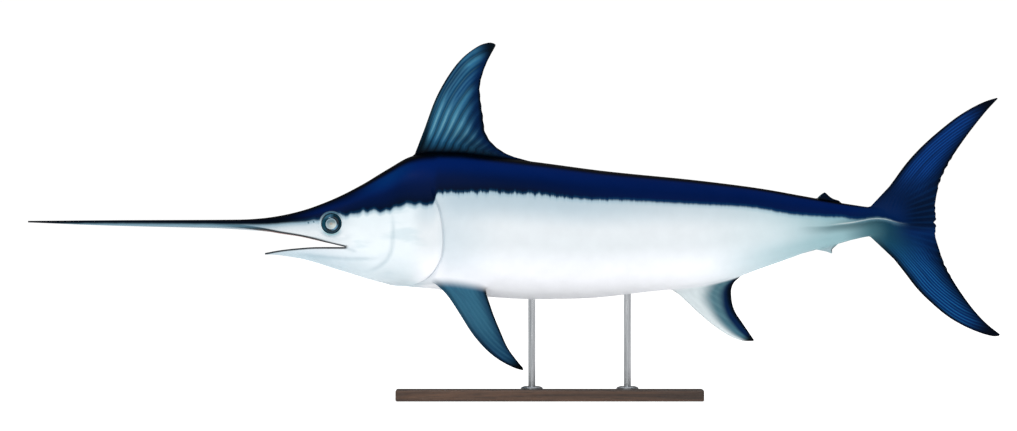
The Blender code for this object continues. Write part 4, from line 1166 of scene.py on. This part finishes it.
def skin_material():
    """Cast skin, airbrushed under a clear satin lacquer: colours with soft edges, and a low, even sheen."""
    plain = {"IOR": 1.45, "Specular IOR Level": 0.03}
    made, tree, shader = new_material("cast_skin_airbrushed_lacquered", plain)
    place = add(tree, "ShaderNodeTexCoord").outputs["Object"]
    sources = dict(zip("xyz", add(tree, "ShaderNodeSeparateXYZ", {0: place}).outputs))
    for name in Skin.MARKS:
        sources[name] = add(tree, "ShaderNodeAttribute", attribute_name=name).outputs["Fac"]

    # the dark back ends in scallops about 28 mm wide on the head, and behind it in upright brush strokes
    # about 12 mm wide, which die away towards the tail
    ragged = sources["edge"]
    fade = add(tree, "ShaderNodeMapRange", {0: sources["x"], 1: 0.05, 2: 0.46, 3: 1.0, 4: 0.22}).outputs[0]
    fade = add(tree, "ShaderNodeMapRange", {0: sources["x"], 1: -0.66, 2: -0.54, 3: 0.05, 4: fade}).outputs[0]
    scallops, brush_strokes = ((36, 0.5, 7), 0.5, 0.034, 0.009), ((85, 0.5, 10), 2.0, 0.007, 0.028)
    for scale, detail, on_head, on_trunk in scallops, brush_strokes:
        stroke = {0: grain(tree, place, scale, detail), 1: -0.5}
        stroke = add(tree, "ShaderNodeMath", stroke, operation="ADD").outputs[0]
        reach = {0: sources["x"], 1: -0.28, 2: -0.22, 3: on_head, 4: on_trunk}
        reach = {0: add(tree, "ShaderNodeMapRange", reach).outputs[0], 1: fade}
        reach = add(tree, "ShaderNodeMath", reach, operation="MULTIPLY").outputs[0]
        moved = {0: stroke, 1: reach, 2: ragged}
        ragged = add(tree, "ShaderNodeMath", moved, operation="MULTIPLY_ADD").outputs[0]
    sources["ragged_edge"] = ragged

    # the dark rear of the first anal fin widens towards its tip
    swept = {0: sources["span"], 1: 0.28, 2: sources["chord"]}
    sources["swept_chord"] = add(tree, "ShaderNodeMath", swept, operation="MULTIPLY_ADD").outputs[0]

    # faint streaks along the face, about 40 mm apart
    sources["streaks"] = grain(tree, place, (7, 1, 24), 3.0, turn=(0, 0.3, 0))

    # fin rays: one wave for each, a little uneven
    wobble = add(tree, "ShaderNodeTexNoise", {"Vector": place, "Scale": 18.0, "Detail": 2.0}).outputs["Fac"]
    moved = {0: wobble, 1: 0.1, 2: sources["ray"]}
    uneven = add(tree, "ShaderNodeMath", moved, operation="MULTIPLY_ADD").outputs[0]
    # with three hair lines to each, and rays that fan out between the lobes of the tail, from the point where
    # they would meet
    fan_x = add(tree, "ShaderNodeMath", {0: sources["x"], 1: 1.08}, operation="SUBTRACT").outputs[0]
    fan_z = add(tree, "ShaderNodeMath", {0: sources["z"], 1: 0.551}, operation="SUBTRACT").outputs[0]
    fan = add(tree, "ShaderNodeMath", {0: fan_z, 1: fan_x}, operation="ARCTAN2").outputs[0]
    waves = [
        ("ray", uneven, 1, 0), ("hair", uneven, 3, 0), ("fan", fan, 11, 0), ("gap", uneven, 1, 0.34),
        # glint is a thin line of painted highlight just behind the crest of each ray
        ("glint", uneven, 1, -0.14),
    ]
    for name, along, count, shift in waves:
        turn = {0: along, 1: 2 * math.pi * count, 2: 2 * math.pi * shift}
        turn = add(tree, "ShaderNodeMath", turn, operation="MULTIPLY_ADD").outputs[0]
        sources[f"{name}_wave"] = add(tree, "ShaderNodeMath", {0: turn}, operation="COSINE").outputs[0]

    # no two rays are alike: streaks one or two rays wide run out along the fin
    on_fin = add(tree, "ShaderNodeCombineXYZ", {0: sources["ray"], 1: sources["span"], 2: sources["z"]})
    sources["fin_streaks"] = grain(tree, on_fin.outputs[0], (0.55, 2.2, 0.4), 2.0)

    masks = read_masks(tree, sources, SKIN_MASKS)
    back_colour = lay_colours(tree, linear("#00123a"), masks, BACK_LAYERS)
    colour = lay_colours(tree, linear("#dae0e4"), masks, FLANK_LAYERS)
    fins = [
        ("dorsal", "#083055", DORSAL_LAYERS), ("tail", TAIL_BLUE, TAIL_LAYERS),
        ("anal", "#d3dde0", ANAL_LAYERS), ("pectoral", "#2f6079", PECTORAL_LAYERS),
        ("small", "#9db3ba", SMALL_FIN_LAYERS),
    ]
    layers = [(back_colour, "dark")]
    layers += [(lay_colours(tree, linear(base), masks, rows), name) for name, base, rows in fins]
    layers += [
        ("#010c1f", "fork_from", "fork_low", "fork_high", 0.8),
        ("#0c3f78", "fan", "fan_from", "fan_to", 0.12),
        # a painted highlight on the raised rim of the orbit, then teal over it above the eye
        ("#c9dae1", "orbit", 0.5), ("#2c6077", "orbit", "over_eye", 0.85),
        # painted shadow on the orbit below the eye
        ("#7ba6af", "orbit", "under_eye", 0.8),
        ("#a98f8c", "mouth", "mouth_from"), ("#3a2226", "mouth", "throat"),
    ]
    colour = lay_colours(tree, colour, masks, layers)

    # faint mottling, in patches of about 45 mm
    patches = add(tree, "ShaderNodeTexNoise", {"Vector": place, "Scale": 22.0, "Detail": 4.0}).outputs["Fac"]
    colour = shade_by(tree, colour, patches, 0.975, 1.02)

    # the skin is finely pitted, about 0.5 mm apart, drawn at 4 mm so that it shows
    pits = add(tree, "ShaderNodeTexNoise", {"Vector": place, "Scale": 250.0, "Detail": 3.0}).outputs["Fac"]
    coat(tree, shader, colour, patches, (0.3, 0.7, 0.30, 0.40), pits, (0.25, 0.0006))
    return made


# Soft masks of the eye, in mm from its middle: ring is the distance, up the height and ahead how far forward
EYE_MASKS = [
    ("iris", "ring", 17.9, 16.4), ("iris_rim", "ring", 13.4, 16.0), ("upper", "up", -8.0, 8.0),
    ("forward", "ahead", -9.0, 11.0), ("dot", "ring", 6.0, 2.0), ("ring_rim", "ring", 25.0, 30.0),
    ("ring_inner", "ring", 24.0, 19.5), ("top", "up", 8.0, 24.0), ("front", "ahead", -10.0, 6.0),
    ("low", "up", 2.0, -12.0), ("behind", "ahead", 4.0, -12.0), ("near_iris", "ring", 24.0, 20.0),
    ("left", "ahead", 10.0, 26.0),
]
IRIS_LAYERS = [
    ("#3b626d", "upper", 0.85), ("#587888", "forward", 0.5), ("#a08a78", "dot", 0.6),
    ("#a9c1d0", "iris_rim", 0.6),
]
EYE_LAYERS = [
    ("#020f18", "ring_inner", 0.7), ("#0f4558", "ring_rim", 0.45), ("#124f64", "left", 0.6),
    # first, a painted highlight high on the front of the ring
    ("#4a7f9c", "top", "front", 0.6), ("#6d9fbe", "near_iris", "low", "behind", 0.75),
]


def eye_material():
    """Clear acrylic, cast, the iris painted on its back: a wet gloss over a dark ring and a pale iris."""
    plain = {"Roughness": 0.08, "IOR": 1.49, "Specular IOR Level": 0.2}
    made, tree, shader = new_material("acrylic_eye_cast_polished", plain)
    sources = {
        name: add(tree, "ShaderNodeAttribute", attribute_name=name).outputs["Fac"]
        for name in ("ring", "up", "ahead")
    }
    masks = read_masks(tree, sources, EYE_MASKS)
    iris = lay_colours(tree, linear("#c6cdc8"), masks, IRIS_LAYERS)
    colour = lay_colours(tree, linear("#041e2b"), masks, EYE_LAYERS + [(iris, "iris")])
    place = add(tree, "ShaderNodeTexCoord").outputs["Object"]
    flecks = add(tree, "ShaderNodeTexNoise", {"Vector": place, "Scale": 600.0, "Detail": 3.0}).outputs["Fac"]
    tree.links.new(shade_by(tree, colour, flecks, 0.85, 1.12), shader.inputs["Base Color"])
    return made


def wood_material():
    """Walnut, planed, stained dark and lacquered: long fine grain with darker pores under a satin film."""
    made, tree, shader = new_material("walnut_stained_lacquered", {"IOR": 1.5})
    place = add(tree, "ShaderNodeTexCoord").outputs["Object"]
    # growth rings are seen as bands 25 to 40 mm wide where the board is sawn along them
    growth = grain(tree, place, (1.6, 26, 40), 5.0, distortion=0.8)
    # pores are about 0.2 mm wide, drawn at 2 mm so that they show
    pores = grain(tree, place, (14, 520, 520), 2.0)
    masks = read_masks(tree, {"growth": growth, "pores": pores}, [
        ("late", "growth", 0.42, 0.6), ("pale", "growth", 0.44, 0.3), ("pore", "pores", 0.56, 0.68)])
    colour = lay_colours(tree, linear("#4b3323"), masks, [
        ("#2c1c12", "late", 0.85), ("#5d4230", "pale", 0.7), ("#170e09", "pore", 0.7)])
    coat(tree, shader, colour, pores, (0.4, 0.7, 0.32, 0.48), pores, (0.2, -0.0004))
    return made


def steel_material():
    """Stainless steel bar, brushed along its length: soft long highlights with fine lines."""
    made, tree, shader = new_material("stainless_steel_brushed", {"Metallic": 1.0})
    place = add(tree, "ShaderNodeTexCoord").outputs["Object"]
    # brush lines are about 0.1 mm apart, drawn at 1 mm so that they show
    lines = grain(tree, place, (900, 900, 9), 2.0)
    masks = read_masks(tree, {"lines": lines}, [("line", "lines", 0.4, 0.62)])
    colour = lay_colours(tree, linear("#d0d3d6"), masks, [("#a6aaae", "line", 0.8)])
    coat(tree, shader, colour, lines, (0.35, 0.65, 0.26, 0.42), lines, (0.15, 0.0002))
    return made


# Strengths of the sky as it lights the model, is reflected and is seen, and of the floor's own light
SKY_LIGHT, SKY_REFLECTED, SKY_SEEN, FLOOR_GLOW = 0.5, 0.15, 1.05, 0.6
# Lamps, as (strength, angle that it fills, tilt from straight above, turn towards the front), in degrees
LAMPS = {"wide_lamp": (0.97, 50, 55, 12), "key_lamp": (0.2, 9, 26, 28)}


def make_floor():
    """A plain white floor, faintly lit from under, so that its shadows are soft and the belly is not dark."""
    bpy.ops.mesh.primitive_plane_add(size=400)
    floor = bpy.context.object
    floor.name = "floor"
    plain = {
        "Base Color": linear("#fcfcfc"), "Roughness": 1.0, "Specular IOR Level": 0.0,
        "Emission Color": linear("#ffffff"), "Emission Strength": FLOOR_GLOW,
    }
    floor.data.materials.append(new_material("floor_matt_white", plain)[0])


def make_camera():
    """A camera level with the fish and far from its left side, because the drawing has no perspective."""
    sensor, view_width, distance = 36.0, 3.139, 60.0
    middle_x, middle_z = -0.0170, 0.5725
    camera_data = bpy.data.cameras.new("camera")
    camera_data.sensor_width = sensor
    camera_data.lens = sensor * distance / view_width
    camera_data.clip_end = 500
    camera = new_object("camera", camera_data)
    camera.location = (middle_x, -distance, middle_z)
    camera.rotation_euler = (math.radians(90), 0, 0)
    bpy.context.scene.camera = camera


def make_lights():
    """A white studio: an even sky, dimmer in reflections and white in the picture, and two soft lamps."""
    world = bpy.data.worlds.new("studio")
    bpy.context.scene.world = world
    world.use_nodes = True
    tree = world.node_tree
    ray = add(tree, "ShaderNodeLightPath").outputs
    sky = add(tree, "ShaderNodeMapRange", {0: ray["Is Glossy Ray"], 3: SKY_LIGHT, 4: SKY_REFLECTED})
    sky = add(tree, "ShaderNodeMapRange", {0: ray["Is Camera Ray"], 3: sky.outputs[0], 4: SKY_SEEN})
    tree.nodes["Background"].inputs["Color"].default_value = (1, 1, 1, 1)
    tree.links.new(sky.outputs[0], tree.nodes["Background"].inputs["Strength"])
    for name, (strength, angle, tilt, turn) in LAMPS.items():
        lamp_data = bpy.data.lights.new(name, "SUN")
        lamp_data.energy, lamp_data.angle = strength, math.radians(angle)
        new_object(name, lamp_data).rotation_euler = (math.radians(tilt), math.radians(-turn), 0)


skin_piece = make_skin()
flesh = [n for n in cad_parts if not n.startswith(("stand_", "eye_"))]
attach(skin_piece, "root")
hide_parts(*flesh)
skin_piece.data.materials.append(skin_material())

eye_finish = eye_material()
for name, side in (("left", -1), ("right", 1)):
    piece = eyeball(f"eyeball_{name}", side)
    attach(piece, "root")
    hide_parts(f"eye_{name}")
    piece.data.materials.append(eye_finish)

wood, steel = wood_material(), steel_material()
for name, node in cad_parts.items():
    if name.startswith("stand_"):
        for material_slot in node.material_slots:
            material_slot.material = wood if name == "stand_base" else steel

make_floor()
make_camera()
make_lights()
bpy.context.scene.view_settings.view_transform = "Standard"
